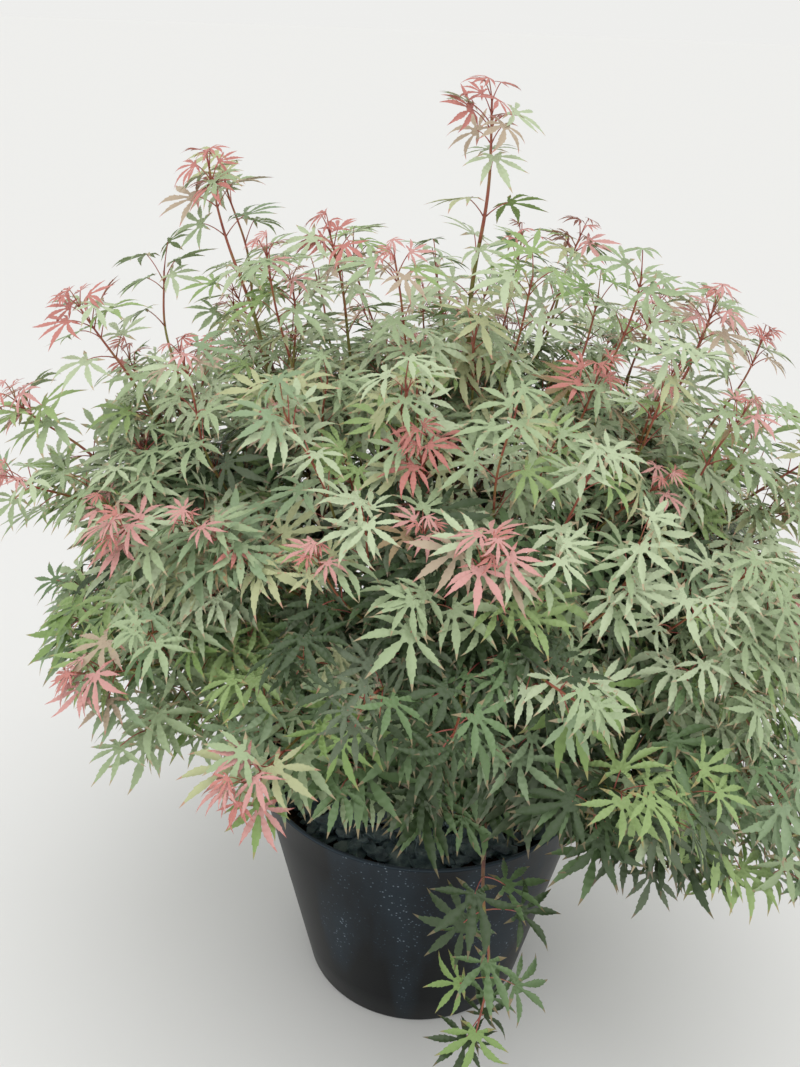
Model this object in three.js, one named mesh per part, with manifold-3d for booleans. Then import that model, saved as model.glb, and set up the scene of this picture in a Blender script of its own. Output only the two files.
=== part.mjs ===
// A Japanese maple in a tapered tub: a short leaning trunk that forks just above the potting
// mix, boughs that spring from it and from each other, and a leafy shoot system on every bough.
// Millimetres, +Z up. The origin is the middle of the tub's flat underside, and -Y is the front.

import * as THREE from 'three';
import { mergeVertices } from 'three/addons/utils/BufferGeometryUtils.js';
import Module from 'manifold-3d';

const wasm = await Module();
wasm.setup();

// Tub
const TUB_HEIGHT = 360;
const TUB_RIM_RADIUS = 240;
const TUB_BASE_RADIUS = 165;
const TUB_WALL = 6;
const TUB_FLOOR = 9;
const TUB_FOOT = 5;
const TUB_SIDES = 32;
const RIM_BEVEL_WIDTH = 1.5;
const RIM_BEVEL_HEIGHT = 2;
const DRAIN_COUNT = 4;
const DRAIN_RADIUS = 9;
const DRAIN_CIRCLE = 95;
const DRAIN_SIDES = 10;

// Potting mix, and the slate chippings that lie on it round the trunk
const MIX_TOP = 322;
const SLATE_DEPTH = 18;
const SLATE_DISH = 5;
const SLATE_HOLE = 4;
const SLATE_HOLE_STEPS = 4;

// Clearances between separate pieces. A cutter is grown by a little more than the gap, as the
// flats between its corners lie inside its radius, and runs past a face by CUT_MARGIN.
const GAP = 0.3;
const CUTTER_GROWTH = 0.36;
const CUT_MARGIN = 2;

// Trunk: it rises straight for TRUNK_STRAIGHT, and is well into its lean at TRUNK_LEANING
const TRUNK_FORK_HEIGHT = 452;
const TRUNK_LEAN = new THREE.Vector2(-9, 14);
const TRUNK_STRAIGHT = 35;
const TRUNK_LEANING = 80;
const TRUNK_LEAN_SHARE = 0.4;
const TRUNK_FOOT_RADIUS = 26;
const TRUNK_FORK_RADIUS = 17;
const FLARE_RADIUS = 17;
const FLARE_HEIGHT = 17;
const ROOT_RIDGES = 5;
const ROOT_RIDGE_DEPTH = 0.2;

// How finely the limbs are cut: sides round them, and steps along them
const TRUNK_CUT = { sides: 15, steps: 7 };
const MAIN_BOUGH_CUT = { sides: 6, steps: 5 };
const MINOR_BOUGH_CUT = { sides: 5, steps: 3 };
const STEM_CUT = { sides: 3, steps: 4 };
const TWIG_CUT = { sides: 3, steps: 1 };
const LIMB_PIECES = 6;
const TWIG_PIECES = 2;

// Nodes, at which twigs and leaves spring in pairs. They are NODE_SPACING apart along a stem, and
// each pair is a quarter turn on from the last one. Turns here are shares of half a turn.
const NODE_SPACING = 78;
const NODE_COUNT_LEAST = 3;
const FIRST_TURN = 0.12;
const TURN_WANDER = 0.2;

// Twigs. The stem's nodes within TWIG_ZONE of its length bear them, in place of leaves. They get
// shorter towards the stem's tip, and some are longer than others.
const TWIG_ZONE = 0.5;
const TWIG_SHORTENING = 0.5;
const TWIG_LENGTH_LEAST = 0.75;
const TWIG_LENGTH_WANDER = 0.5;
const TWIG_ANGLE_WANDER = 14;
const TWIG_RISE = 0.18;
const TWIG_ARCH = 0.06;
const TWIG_NODE = 0.52;
const TWIG_RADIUS = 3.2;
const TWIG_ROOT_SHARE = 0.8;
const SHOOT_TIP_RADIUS = 2.3;
const SHOOT_TAPER = 0.7;
const TWIG_CLEARANCE = 9;
const TWIG_TUB_CLEARANCE = 12;
const TWIG_TESTS = [0.3, 0.5, 0.7, 0.85, 1];

// Leaves. They are fewer than the plant has, and larger than life. A leaf that would touch
// something is turned and made smaller by a step at a time, and after LEAF_TRIES it is left out.
const LEAF_LENGTH = 98;
const LEAF_THICKNESS = 3;
const LEAF_ARCH = 0.3;
const STALK_LENGTH = 58;
const STALK_RISE = 0.3;
const STALK_DEPTH = 0.4;
const LEAF_TRIES = 7;
const LEAF_SHRINK = 0.06;
const LEAF_TURN_WANDER = 0.35;
const LEAF_SPREAD_WANDER = 0.25;
const LEAF_DROOP_WANDER = 0.3;
const LEAF_SIZE_WANDER = 0.2;

// Leaves by where they spring: the stalk's angle from the stem and the blade's droop, in radians,
// and the size. A stem or twig ends in one leaf and a pair, short of its tip by TIP_MARGIN of it.
const TIP_LEAF = { spread: 0.12, size: 0.8, droop: 0 };
const TIP_PAIR = { spread: 0.85, size: 0.85, droop: 0.15 };
const NODE_PAIR = { spread: 1.05, size: 0.9, droop: 0.2 };
const TIP_MARGIN = 0.035;

// How near leaves may come: to leaves of their own mass, to its twigs, to other limbs and the
// tub, and to leaves of other masses. A lobe may reach past the middle line between its own
// twigs and another mass's until it is OVERHANG nearer to the other ones.
const OWN_LEAF_CLEARANCE = 0.5;
const OWN_TWIG_CLEARANCE = 1;
const LIMB_CLEARANCE = 3;
const OTHER_LEAF_CLEARANCE = LEAF_THICKNESS + 2 * GAP;
const OVERHANG = 60;

// What the random streams start from: one for the twigs and one for the leaves of each shoot
const TWIG_SEED = 4133;
const TWIG_SEED_STEP = 101;
const LEAF_SEED = 3 * TWIG_SEED;
const LEAF_SEED_STEP = 211;

// Lobes of a leaf, from the middle one out to one side: direction from the midrib in degrees,
// and length as a share of the middle lobe's. NOTCH is where two lobes part, in the same share,
// and STALK_SHOULDER is where the last lobe meets the stalk.
const LOBES = [
  { angle: 0, reach: 1 },
  { angle: 43, reach: 0.9 },
  { angle: 96, reach: 0.58 },
];
const NOTCH = 0.35;
const STALK_SHOULDER = { angle: 158, reach: 0.055 };

// The ways a shoot grows. bare is the share of it that is bough. sweep and lift place the bend of
// its curve, as shares of the way out and of the way up, and arch raises the bend. A side twig
// leaves its stem at twigAngle degrees, and leafSize scales the leaves.
const HABITS = {
  upright: {
    bare: 0.36, sweep: 0.62, lift: 0.4, arch: 0, twigAngle: 36, twigLength: 150, leafSize: 0.86,
  },
  spreading: {
    bare: 0.34, sweep: 0.55, lift: 0.52, arch: 20, twigAngle: 44, twigLength: 150, leafSize: 1,
  },
  skirting: {
    bare: 0.26, sweep: 0.5, lift: 0.5, arch: 70, twigAngle: 50, twigLength: 150, leafSize: 1.05,
  },
  hanging: {
    bare: 0.5, sweep: 1.12, lift: 0, arch: 75, twigAngle: 40, twigLength: 60, leafSize: 0.75,
  },
};

// Every shoot: its habit, what it springs from and where along that (a share of the bough), the
// compass direction of its tip in degrees round from +X, the tip's reach from the tub's axis and
// its height, and the radius at its root.
const SHOOTS = [
  ['leader', 'upright', 'trunk', 0.95, 0, 40, 1265, 14],
  ['upper_left', 'upright', 'trunk', 0.80, 177, 285, 1180, 11],
  ['upper_right', 'upright', 'trunk', 0.84, 358, 322, 1045, 11],
  ['far_left', 'spreading', 'trunk', 0.56, 186, 500, 890, 11],
  ['front', 'spreading', 'trunk', 0.64, 277, 330, 850, 11],
  ['far_right', 'spreading', 'trunk', 0.50, 352, 455, 880, 11],
  ['rear', 'spreading', 'trunk', 0.66, 88, 380, 900, 11],
  ['middle_left', 'upright', 'leader', 0.55, 176, 145, 1110, 7],
  ['middle_rear', 'upright', 'leader', 0.80, 48, 270, 1085, 7],
  ['middle_right', 'upright', 'leader', 0.40, 330, 200, 985, 7],
  ['middle_front', 'upright', 'leader', 0.25, 262, 215, 930, 7],
  ['left_shoulder', 'upright', 'upper_left', 0.45, 188, 430, 1030, 7],
  ['rear_right', 'spreading', 'upper_right', 0.40, 38, 430, 850, 7],
  ['rear_left', 'spreading', 'rear', 0.72, 138, 420, 860, 7],
  ['left_front', 'spreading', 'far_left', 0.80, 211, 395, 800, 6.5],
  ['left_front_skirt', 'skirting', 'far_left', 0.42, 214, 450, 650, 6.5],
  ['left_skirt', 'skirting', 'far_left', 0.60, 176, 470, 600, 6.5],
  ['front_left_skirt', 'skirting', 'front', 0.50, 243, 410, 610, 6.5],
  ['front_skirt', 'skirting', 'front', 0.70, 268, 395, 530, 6.5],
  ['front_tail', 'hanging', 'front', 0.86, 281, 372, 205, 6],
  ['front_right_skirt', 'skirting', 'front', 0.34, 306, 415, 560, 6.5],
  ['right_front_skirt', 'skirting', 'far_right', 0.36, 327, 545, 450, 6.5],
  ['right_front', 'spreading', 'far_right', 0.62, 336, 455, 700, 6.5],
  ['right_rear_skirt', 'skirting', 'far_right', 0.80, 16, 490, 600, 6.5],
  ['rear_right_skirt', 'skirting', 'rear', 0.34, 60, 455, 560, 6.5],
  ['rear_skirt', 'skirting', 'rear', 0.54, 104, 440, 600, 6.5],
  ['rear_left_skirt', 'skirting', 'rear', 0.22, 146, 460, 560, 6.5],
].map(([name, habit, from, at, compass, reach, height, radius], index) => (
  { name, habit: HABITS[habit], from, at, compass, reach, height, radius, index }
));

// Materials
const FINISHES = {
  tub: { color: 0x23282d, roughness: 0.42, metalness: 0 },
  mix: { color: 0x3a2a20, roughness: 0.95, metalness: 0 },
  slate: { color: 0x3f5054, roughness: 0.7, metalness: 0 },
  bark: { color: 0x6b4a38, roughness: 0.85, metalness: 0 },
  bough: { color: 0x7a4a38, roughness: 0.8, metalness: 0 },
  leaf: { color: 0x8aa284, roughness: 0.7, metalness: 0 },
};

const UP = new THREE.Vector3(0, 0, 1);
const { clamp, degToRad, lerp, mapLinear } = THREE.MathUtils;
const plant = new THREE.Group();

/** Adds the largest body of a solid as a named piece with its finish. */
function addPiece(name, solid, finish) {
  const mesh = new THREE.Mesh(toGeometry(solid), new THREE.MeshStandardMaterial(finish));
  mesh.name = name;
  plant.add(mesh);
}

/** A stream of numbers from 0 to 1 that is the same every time for one seed. */
function makeRandom(seed) {
  let state = seed >>> 0;
  return () => {
    state = (state + 0x6d2b79f5) >>> 0;
    let mixed = Math.imul(state ^ (state >>> 15), state | 1);
    mixed ^= mixed + Math.imul(mixed ^ (mixed >>> 7), mixed | 61);
    return ((mixed ^ (mixed >>> 14)) >>> 0) / 4294967296;
  };
}

/** A closed three.js geometry as a solid that can be joined and cut. */
function toSolid(geometry) {
  const bare = geometry.clone();
  bare.deleteAttribute('normal');
  bare.deleteAttribute('uv');
  const merged = mergeVertices(bare, 1e-4);
  return new wasm.Manifold(new wasm.Mesh({
    numProp: 3,
    vertProperties: new Float32Array(merged.attributes.position.array),
    triVerts: new Uint32Array(merged.index.array),
  }));
}

/** The largest closed body of a solid as a three.js geometry, with sealed hollows filled. */
function toGeometry(solid) {
  const bodies = solid.decompose().sort((a, b) => b.volume() - a.volume());
  const mesh = bodies[0].getMesh();
  const geometry = new THREE.BufferGeometry();
  geometry.setAttribute('position', new THREE.BufferAttribute(mesh.vertProperties, 3));
  geometry.setIndex(new THREE.BufferAttribute(mesh.triVerts, 1));
  geometry.computeVertexNormals();
  return geometry;
}

/** A flat ring of corners at unit radius, as a shape to extrude. */
function unitPolygon(sides) {
  const corners = Array.from({ length: sides }, (_, corner) => {
    const angle = (2 * Math.PI * corner) / sides;
    return new THREE.Vector2(Math.cos(angle), Math.sin(angle));
  });
  return new THREE.Shape(corners);
}

/** A solid of revolution about +Z, from its profile as pairs of radius and height. */
function turnProfile(profile) {
  const points = profile.map(([radius, height]) => new THREE.Vector2(radius, height));
  return toSolid(new THREE.LatheGeometry(points, TUB_SIDES).rotateX(Math.PI / 2));
}

/** Directions across a curve, where side is never along its tangent. */
function acrossAt(tangent, side) {
  const across = side.clone().addScaledVector(tangent, -side.dot(tangent)).normalize();
  return [across, new THREE.Vector3().crossVectors(tangent, across)];
}

/** The level direction at right angles to the way from one end of a curve to the other. */
function levelSide(curve) {
  const start = curve.getPoint(0);
  const end = curve.getPoint(1);
  const side = new THREE.Vector3(start.y - end.y, end.x - start.x, 0);
  return side.lengthSq() > 1 ? side.normalize() : new THREE.Vector3(1, 0, 0);
}

/** A limb: a prism whose rings are carried along a curve, each with its own radius. */
function sweepLimb(curve, from, to, radiusAt, { sides, steps }) {
  const outline = unitPolygon(sides);
  const prism = new THREE.ExtrudeGeometry(outline, { depth: 1, steps, bevelEnabled: false });
  const side = levelSide(curve);
  const position = prism.attributes.position;
  for (let i = 0; i < position.count; i += 1) {
    const along = lerp(from, to, position.getZ(i));
    const [across, over] = acrossAt(curve.getTangent(Math.min(along, 1)), side);
    const radius = radiusAt(along, Math.atan2(position.getY(i), position.getX(i)));
    const point = curve.getPoint(along)
      .addScaledVector(across, radius * position.getX(i))
      .addScaledVector(over, radius * position.getY(i));
    position.setXYZ(i, point.x, point.y, point.z);
  }
  return toSolid(prism);
}

/** The tub's outer radius at a height. */
function tubRadius(height) {
  return mapLinear(height, 0, TUB_HEIGHT, TUB_BASE_RADIUS, TUB_RIM_RADIUS);
}

/** The tub: a turned wall and floor, with drain holes round the middle of the floor. */
function makeTub() {
  const bevelStart = TUB_HEIGHT - RIM_BEVEL_HEIGHT;
  let tub = turnProfile([
    [0, 0],
    [TUB_BASE_RADIUS - TUB_FOOT, 0],
    [tubRadius(TUB_FOOT), TUB_FOOT],
    [tubRadius(bevelStart), bevelStart],
    [TUB_RIM_RADIUS - RIM_BEVEL_WIDTH, TUB_HEIGHT],
    [TUB_RIM_RADIUS - TUB_WALL, TUB_HEIGHT],
    [tubRadius(TUB_FLOOR) - TUB_WALL, TUB_FLOOR],
    [0, TUB_FLOOR],
  ]);
  for (let hole = 0; hole < DRAIN_COUNT; hole += 1) {
    const angle = (2 * Math.PI * (hole + 0.5)) / DRAIN_COUNT;
    const length = 2 * (TUB_FLOOR + CUT_MARGIN);
    const drill = new THREE.CylinderGeometry(DRAIN_RADIUS, DRAIN_RADIUS, length, DRAIN_SIDES);
    drill.rotateX(Math.PI / 2);
    drill.translate(DRAIN_CIRCLE * Math.cos(angle), DRAIN_CIRCLE * Math.sin(angle), 0);
    tub = tub.subtract(toSolid(drill));
  }
  return tub;
}

/** A round filling of the tub between two heights, with a top that dips in the middle. */
function makeFilling(bottom, top, dish) {
  const inset = TUB_WALL + 2 * GAP;
  return turnProfile([
    [0, bottom],
    [tubRadius(bottom) - inset, bottom],
    [tubRadius(top) - inset, top],
    [0, top - dish],
  ]);
}

const trunkCurve = new THREE.CubicBezierCurve3(
  new THREE.Vector3(0, 0, MIX_TOP + GAP),
  new THREE.Vector3(0, 0, MIX_TOP + TRUNK_STRAIGHT),
  new THREE.Vector3(
    TRUNK_LEAN.x * TRUNK_LEAN_SHARE, TRUNK_LEAN.y * TRUNK_LEAN_SHARE, MIX_TOP + TRUNK_LEANING),
  new THREE.Vector3(TRUNK_LEAN.x, TRUNK_LEAN.y, TRUNK_FORK_HEIGHT),
);

/** The trunk's radius: a taper, with root ridges that flare out at the foot. */
function trunkRadius(growth) {
  return (along, angle) => {
    const height = trunkCurve.getPoint(along).z - MIX_TOP;
    const flare = Math.exp(-height / FLARE_HEIGHT);
    const ridge = 1 + ROOT_RIDGE_DEPTH * flare * Math.cos(ROOT_RIDGES * angle);
    const taper = lerp(TRUNK_FOOT_RADIUS, TRUNK_FORK_RADIUS, along);
    return taper * ridge + FLARE_RADIUS * flare + growth;
  };
}

/** The chippings: a filling with a hole that leaves the trunk's foot clear. */
function makeSlate() {
  const cut = { sides: TRUNK_CUT.sides, steps: SLATE_HOLE_STEPS };
  const hole = sweepLimb(trunkCurve, 0, 1, trunkRadius(SLATE_HOLE), cut);
  return makeFilling(MIX_TOP + GAP, MIX_TOP + SLATE_DEPTH, SLATE_DISH)
    .subtract(hole.translate([0, 0, -CUT_MARGIN]));
}

/** The point of a limb's centreline where another one springs from it. */
function springPoint(from, at) {
  if (from === 'trunk') {
    return trunkCurve.getPoint(at);
  }
  const parent = SHOOTS.find((shoot) => shoot.name === from);
  return parent.curve.getPoint(at * parent.habit.bare);
}

/** Gives a shoot its curve and radius. The bough and the stem in its mass share one curve. */
function layOut(shoot) {
  const { habit } = shoot;
  const angle = degToRad(shoot.compass);
  const root = springPoint(shoot.from, shoot.at);
  const tip = new THREE.Vector3(
    shoot.reach * Math.cos(angle), shoot.reach * Math.sin(angle), shoot.height);
  const bend = new THREE.Vector3(
    lerp(root.x, tip.x, habit.sweep),
    lerp(root.y, tip.y, habit.sweep),
    lerp(root.z, tip.z, habit.lift) + habit.arch,
  );
  shoot.curve = new THREE.QuadraticBezierCurve3(root, bend, tip);
  shoot.radiusAt = (along) => lerp(shoot.radius, SHOOT_TIP_RADIUS, along ** SHOOT_TAPER);
}

/** Cuts a curve's stretch into a row of straight pieces, for measuring how near things come. */
function measuringLine(curve, from, to, radiusAt, pieces) {
  return Array.from({ length: pieces }, (_, piece) => {
    const start = lerp(from, to, piece / pieces);
    const end = lerp(from, to, (piece + 1) / pieces);
    return {
      start: curve.getPoint(start),
      end: curve.getPoint(end),
      radius: Math.max(radiusAt(start, 0), radiusAt(end, 0)),
    };
  });
}

/** How far a point lies from the skin of the nearest piece of a line. */
function distanceToLine(point, line) {
  let nearest = Infinity;
  const foot = new THREE.Vector3();
  const way = new THREE.Line3();
  for (const piece of line) {
    way.set(piece.start, piece.end).closestPointToPoint(point, true, foot);
    nearest = Math.min(nearest, foot.distanceTo(point) - piece.radius);
  }
  return nearest;
}

/** The shortest distance between two straight stretches. */
function distanceBetween(startA, endA, startB, endB) {
  const alongA = endA.clone().sub(startA);
  const alongB = endB.clone().sub(startB);
  const apart = startA.clone().sub(startB);
  const aa = alongA.dot(alongA);
  const bb = alongB.dot(alongB);
  const ab = alongA.dot(alongB);
  const cross = aa * bb - ab * ab;
  let shareA = 0;
  if (cross > 1e-9) {
    shareA = clamp((ab * alongB.dot(apart) - bb * alongA.dot(apart)) / cross, 0, 1);
  }
  const shareB = clamp((ab * shareA + alongB.dot(apart)) / bb, 0, 1);
  shareA = clamp((ab * shareB - alongA.dot(apart)) / aa, 0, 1);
  return apart.addScaledVector(alongA, shareA).addScaledVector(alongB, -shareB).length();
}

/** Whether a point is clear of the tub, of what fills it and of the ground. */
function clearOfTub(point, clearance) {
  if (point.z < clearance) {
    return false;
  }
  if (point.z > TUB_HEIGHT + clearance) {
    return true;
  }
  const radius = Math.hypot(point.x, point.y);
  const outside = radius > tubRadius(point.z) + clearance;
  const inside = radius < TUB_RIM_RADIUS - TUB_WALL - 2 * clearance
    && point.z > MIX_TOP + SLATE_DEPTH + clearance;
  return outside || inside;
}

/** One side twig, sprung from a shoot's stem along a radial direction. */
function makeTwig(shoot, along, radial, lengthShare, angle) {
  const { curve, habit } = shoot;
  const way = curve.getTangent(along).multiplyScalar(Math.cos(angle))
    .addScaledVector(radial, Math.sin(angle))
    .addScaledVector(UP, TWIG_RISE)
    .normalize();
  const root = curve.getPoint(along);
  const tip = root.clone().addScaledVector(way, habit.twigLength * lengthShare);
  const bend = root.clone().lerp(tip, 0.5).addScaledVector(UP, TWIG_ARCH * habit.twigLength);
  const twigCurve = new THREE.QuadraticBezierCurve3(root, bend, tip);
  const rootRadius = Math.min(TWIG_RADIUS, TWIG_ROOT_SHARE * shoot.radiusAt(along));
  const radiusAt = (share) => lerp(rootRadius, SHOOT_TIP_RADIUS, share);
  return {
    curve: twigCurve,
    start: 0,
    radiusAt,
    cut: TWIG_CUT,
    line: measuringLine(twigCurve, 0, 1, radiusAt, TWIG_PIECES),
    leafNodes: [],
  };
}

/** Whether a twig keeps clear of the tub, the limbs and the twigs of other masses. */
function twigFits(twig, limbLine, otherLine) {
  return TWIG_TESTS.every((along) => {
    const point = twig.curve.getPoint(along);
    return clearOfTub(point, TWIG_TUB_CLEARANCE)
      && distanceToLine(point, limbLine) > TWIG_CLEARANCE
      && distanceToLine(point, otherLine) > TWIG_CLEARANCE;
  });
}

/** The stem and side twigs of one mass. Each is a curve with its radius and its leaf nodes. */
function growTwigs(shoot, limbLine, otherLine) {
  const random = makeRandom(TWIG_SEED + TWIG_SEED_STEP * shoot.index);
  const { curve, habit, radiusAt } = shoot;
  const start = habit.bare + GAP / curve.getLength();
  const nodes = Math.max(
    NODE_COUNT_LEAST, Math.round(((1 - start) * curve.getLength()) / NODE_SPACING));
  const side = levelSide(curve);
  const line = measuringLine(curve, start, 1, radiusAt, LIMB_PIECES);
  const stem = { curve, start, radiusAt, cut: STEM_CUT, line, leafNodes: [] };
  const twigs = [stem];
  for (let node = 0; node < nodes; node += 1) {
    const share = (node + 0.5) / nodes;
    const along = lerp(start, 1, share);
    const turn = Math.PI * (node / 2 + FIRST_TURN + TURN_WANDER * (random() - 0.5));
    if (share > TWIG_ZONE) {
      stem.leafNodes.push({ along, turn });
      continue;
    }
    const [across, over] = acrossAt(curve.getTangent(along), side);
    for (const round of [turn, turn + Math.PI]) {
      const lengthShare = (1 - TWIG_SHORTENING * share)
        * (TWIG_LENGTH_LEAST + TWIG_LENGTH_WANDER * random());
      const angle = degToRad(habit.twigAngle + TWIG_ANGLE_WANDER * (random() - 0.5));
      const radial = across.clone().multiplyScalar(Math.cos(round))
        .addScaledVector(over, Math.sin(round));
      const twig = makeTwig(shoot, along, radial, lengthShare, angle);
      twig.leafNodes.push({ along: TWIG_NODE, turn: turn + Math.PI / 2 });
      if (twigFits(twig, limbLine, otherLine)) {
        twigs.push(twig);
      }
    }
  }
  return twigs;
}

/** The corners of a leaf between its shoulders: lobe tips, and the notches between them. */
function lobeCorners() {
  const half = LOBES.flatMap((lobe, index) => {
    const next = LOBES[index + 1];
    return next ? [lobe, { angle: (lobe.angle + next.angle) / 2, reach: NOTCH }] : [lobe];
  });
  const mirrored = half.slice(1).map(({ angle, reach }) => ({ angle: -angle, reach }));
  return [...half.toReversed(), ...mirrored];
}

// The corners round a leaf's edge, from one side of the stalk to the other. The stalk's foot comes
// before them.
const LEAF_CORNERS = [
  STALK_SHOULDER,
  ...lobeCorners(),
  { angle: -STALK_SHOULDER.angle, reach: STALK_SHOULDER.reach },
];

/** Where a leaf's edge and middle lie, for a stalk that springs from root along way. */
function placeLeaf(root, way, sunk, size, droop) {
  const forward = new THREE.Vector3(way.x, way.y, 0).normalize()
    .multiplyScalar(Math.cos(droop))
    .addScaledVector(UP, -Math.sin(droop));
  const side = new THREE.Vector3().crossVectors(forward, UP).normalize();
  const normal = new THREE.Vector3().crossVectors(side, forward);
  const middle = root.clone().addScaledVector(way, STALK_LENGTH * size);
  const length = LEAF_LENGTH * size;
  const corners = LEAF_CORNERS.map((corner) => {
    const angle = degToRad(corner.angle);
    return middle.clone()
      .addScaledVector(forward, length * corner.reach * Math.cos(angle))
      .addScaledVector(side, length * corner.reach * Math.sin(angle))
      .addScaledVector(normal, -LEAF_ARCH * length * corner.reach ** 2);
  });
  const edge = [root.clone().addScaledVector(way, -sunk), ...corners];
  const reach = Math.max(...edge.map((point) => point.distanceTo(middle)));
  const stretches = measuringStretches(edge, middle);
  return { middle, normal, edge, reach, stretches };
}

/** The straight stretches that a leaf is measured by: round its edge, and from its middle out. */
function measuringStretches(edge, middle) {
  return edge.slice(1).flatMap((point, i) => [
    [point, edge[(i + 2) % edge.length]],
    [middle, point],
  ]);
}

/** A leaf's solid: a ball with one ring of points, drawn out into the lobes and the stalk. */
function leafSolid(leaf) {
  const count = leaf.edge.length;
  const ball = new THREE.SphereGeometry(1, count, 2);
  const position = ball.attributes.position;
  for (let i = 0; i < position.count; i += 1) {
    const height = position.getY(i);
    const turn = Math.atan2(position.getZ(i), -position.getX(i)) / (2 * Math.PI);
    const corner = Math.round((turn + 1) * count) % count;
    const point = Math.abs(height) > 0.5
      ? leaf.middle.clone().addScaledVector(leaf.normal, (height * LEAF_THICKNESS) / 2)
      : leaf.edge[corner];
    position.setXYZ(i, point.x, point.y, point.z);
  }
  return toSolid(ball);
}

/** Whether a straight stretch runs through a leaf. */
function pierces(start, end, { edge, middle }) {
  const way = end.clone().sub(start);
  const length = way.length();
  const ray = new THREE.Ray(start, way.divideScalar(length));
  return edge.some((point, i) => {
    const next = edge[(i + 1) % edge.length];
    const hit = ray.intersectTriangle(middle, point, next, false, new THREE.Vector3());
    return hit !== null && hit.distanceTo(start) < length;
  });
}

/** Whether two leaves cross or come nearer than a clearance. */
function leavesTouch(one, other, clearance) {
  if (one.middle.distanceTo(other.middle) > one.reach + other.reach + clearance) {
    return false;
  }
  return one.stretches.some(([start, end]) => pierces(start, end, other))
    || other.stretches.some(([start, end]) => pierces(start, end, one))
    || one.stretches.some(([startA, endA]) => other.stretches.some(([startB, endB]) => (
      distanceBetween(startA, endA, startB, endB) < clearance)));
}

/** Whether a leaf comes nearer than a clearance to a line of limbs or twigs. */
function leafTouchesLine(leaf, line, clearance) {
  return line.some((piece) => {
    const range = leaf.reach + piece.radius + clearance + piece.start.distanceTo(piece.end);
    return piece.start.distanceTo(leaf.middle) < range
      && (pierces(piece.start, piece.end, leaf)
        || leaf.stretches.some(([start, end]) => (
          distanceBetween(start, end, piece.start, piece.end) < piece.radius + clearance)));
  });
}

/** Whether a leaf stays off the tub, and in its own mass's space or just over its border. */
function inOwnSpace(leaf, ownLine, otherLine) {
  const corners = leaf.edge.slice(1);
  const halfway = corners.map((point) => point.clone().lerp(leaf.middle, 0.5));
  return [...corners, ...halfway, leaf.middle].every((point) => (
    clearOfTub(point, LIMB_CLEARANCE)
      && distanceToLine(point, otherLine) > distanceToLine(point, ownLine) - OVERHANG));
}

/** The leaves of one mass, on every node of its stem and twigs and at their tips. */
function growLeaves(shoot, limbLine, otherLine, otherLeaves) {
  const random = makeRandom(LEAF_SEED + LEAF_SEED_STEP * shoot.index);
  const leaves = [];
  const fits = (leaf, twig) => (
    !leaves.some((other) => leavesTouch(leaf, other, OWN_LEAF_CLEARANCE))
    && !leafTouchesLine(
      leaf, shoot.line.filter((piece) => !twig.line.includes(piece)), OWN_TWIG_CLEARANCE)
    && !leafTouchesLine(leaf, limbLine, LIMB_CLEARANCE)
    && !leafTouchesLine(leaf, otherLine, LIMB_CLEARANCE)
    && inOwnSpace(leaf, shoot.line, otherLine)
    && !otherLeaves.some((other) => leavesTouch(leaf, other, OTHER_LEAF_CLEARANCE)));
  const tryLeaf = (twig, along, turn, { spread, size, droop }) => {
    const tangent = twig.curve.getTangent(along);
    const [across, over] = acrossAt(tangent, levelSide(twig.curve));
    const root = twig.curve.getPoint(along);
    for (let attempt = 0; attempt < LEAF_TRIES; attempt += 1) {
      const around = turn + LEAF_TURN_WANDER * attempt * (random() - 0.5);
      const outward = spread + LEAF_SPREAD_WANDER * attempt * (random() - 0.5);
      const way = tangent.clone().multiplyScalar(Math.cos(outward))
        .addScaledVector(across, Math.cos(around) * Math.sin(outward))
        .addScaledVector(over, Math.sin(around) * Math.sin(outward))
        .addScaledVector(UP, STALK_RISE)
        .normalize();
      const scale = size * (1 - LEAF_SHRINK * attempt) * shoot.habit.leafSize;
      const sunk = STALK_DEPTH * twig.radiusAt(along);
      const leaf = placeLeaf(root, way, sunk, scale, droop + LEAF_DROOP_WANDER * random());
      if (fits(leaf, twig)) {
        leaves.push(leaf);
        twig.leafy = true;
        return;
      }
    }
  };
  for (const twig of shoot.twigs) {
    const last = lerp(1, twig.start, TIP_MARGIN);
    const turn = random() * Math.PI;
    tryLeaf(twig, last, turn, TIP_LEAF);
    tryLeaf(twig, last, turn, TIP_PAIR);
    tryLeaf(twig, last, turn + Math.PI, TIP_PAIR);
  }
  for (const twig of shoot.twigs) {
    for (const { along, turn } of twig.leafNodes) {
      for (const round of [turn, turn + Math.PI]) {
        const size = NODE_PAIR.size + LEAF_SIZE_WANDER * random();
        tryLeaf(twig, along, round, { ...NODE_PAIR, size });
      }
    }
  }
  return leaves;
}

addPiece('tub', makeTub(), FINISHES.tub);
addPiece('potting_mix', makeFilling(TUB_FLOOR + GAP, MIX_TOP, 0), FINISHES.mix);
addPiece('slate_chippings', makeSlate(), FINISHES.slate);
addPiece('trunk', sweepLimb(trunkCurve, 0, 1, trunkRadius(0), TRUNK_CUT), FINISHES.bark);

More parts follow.
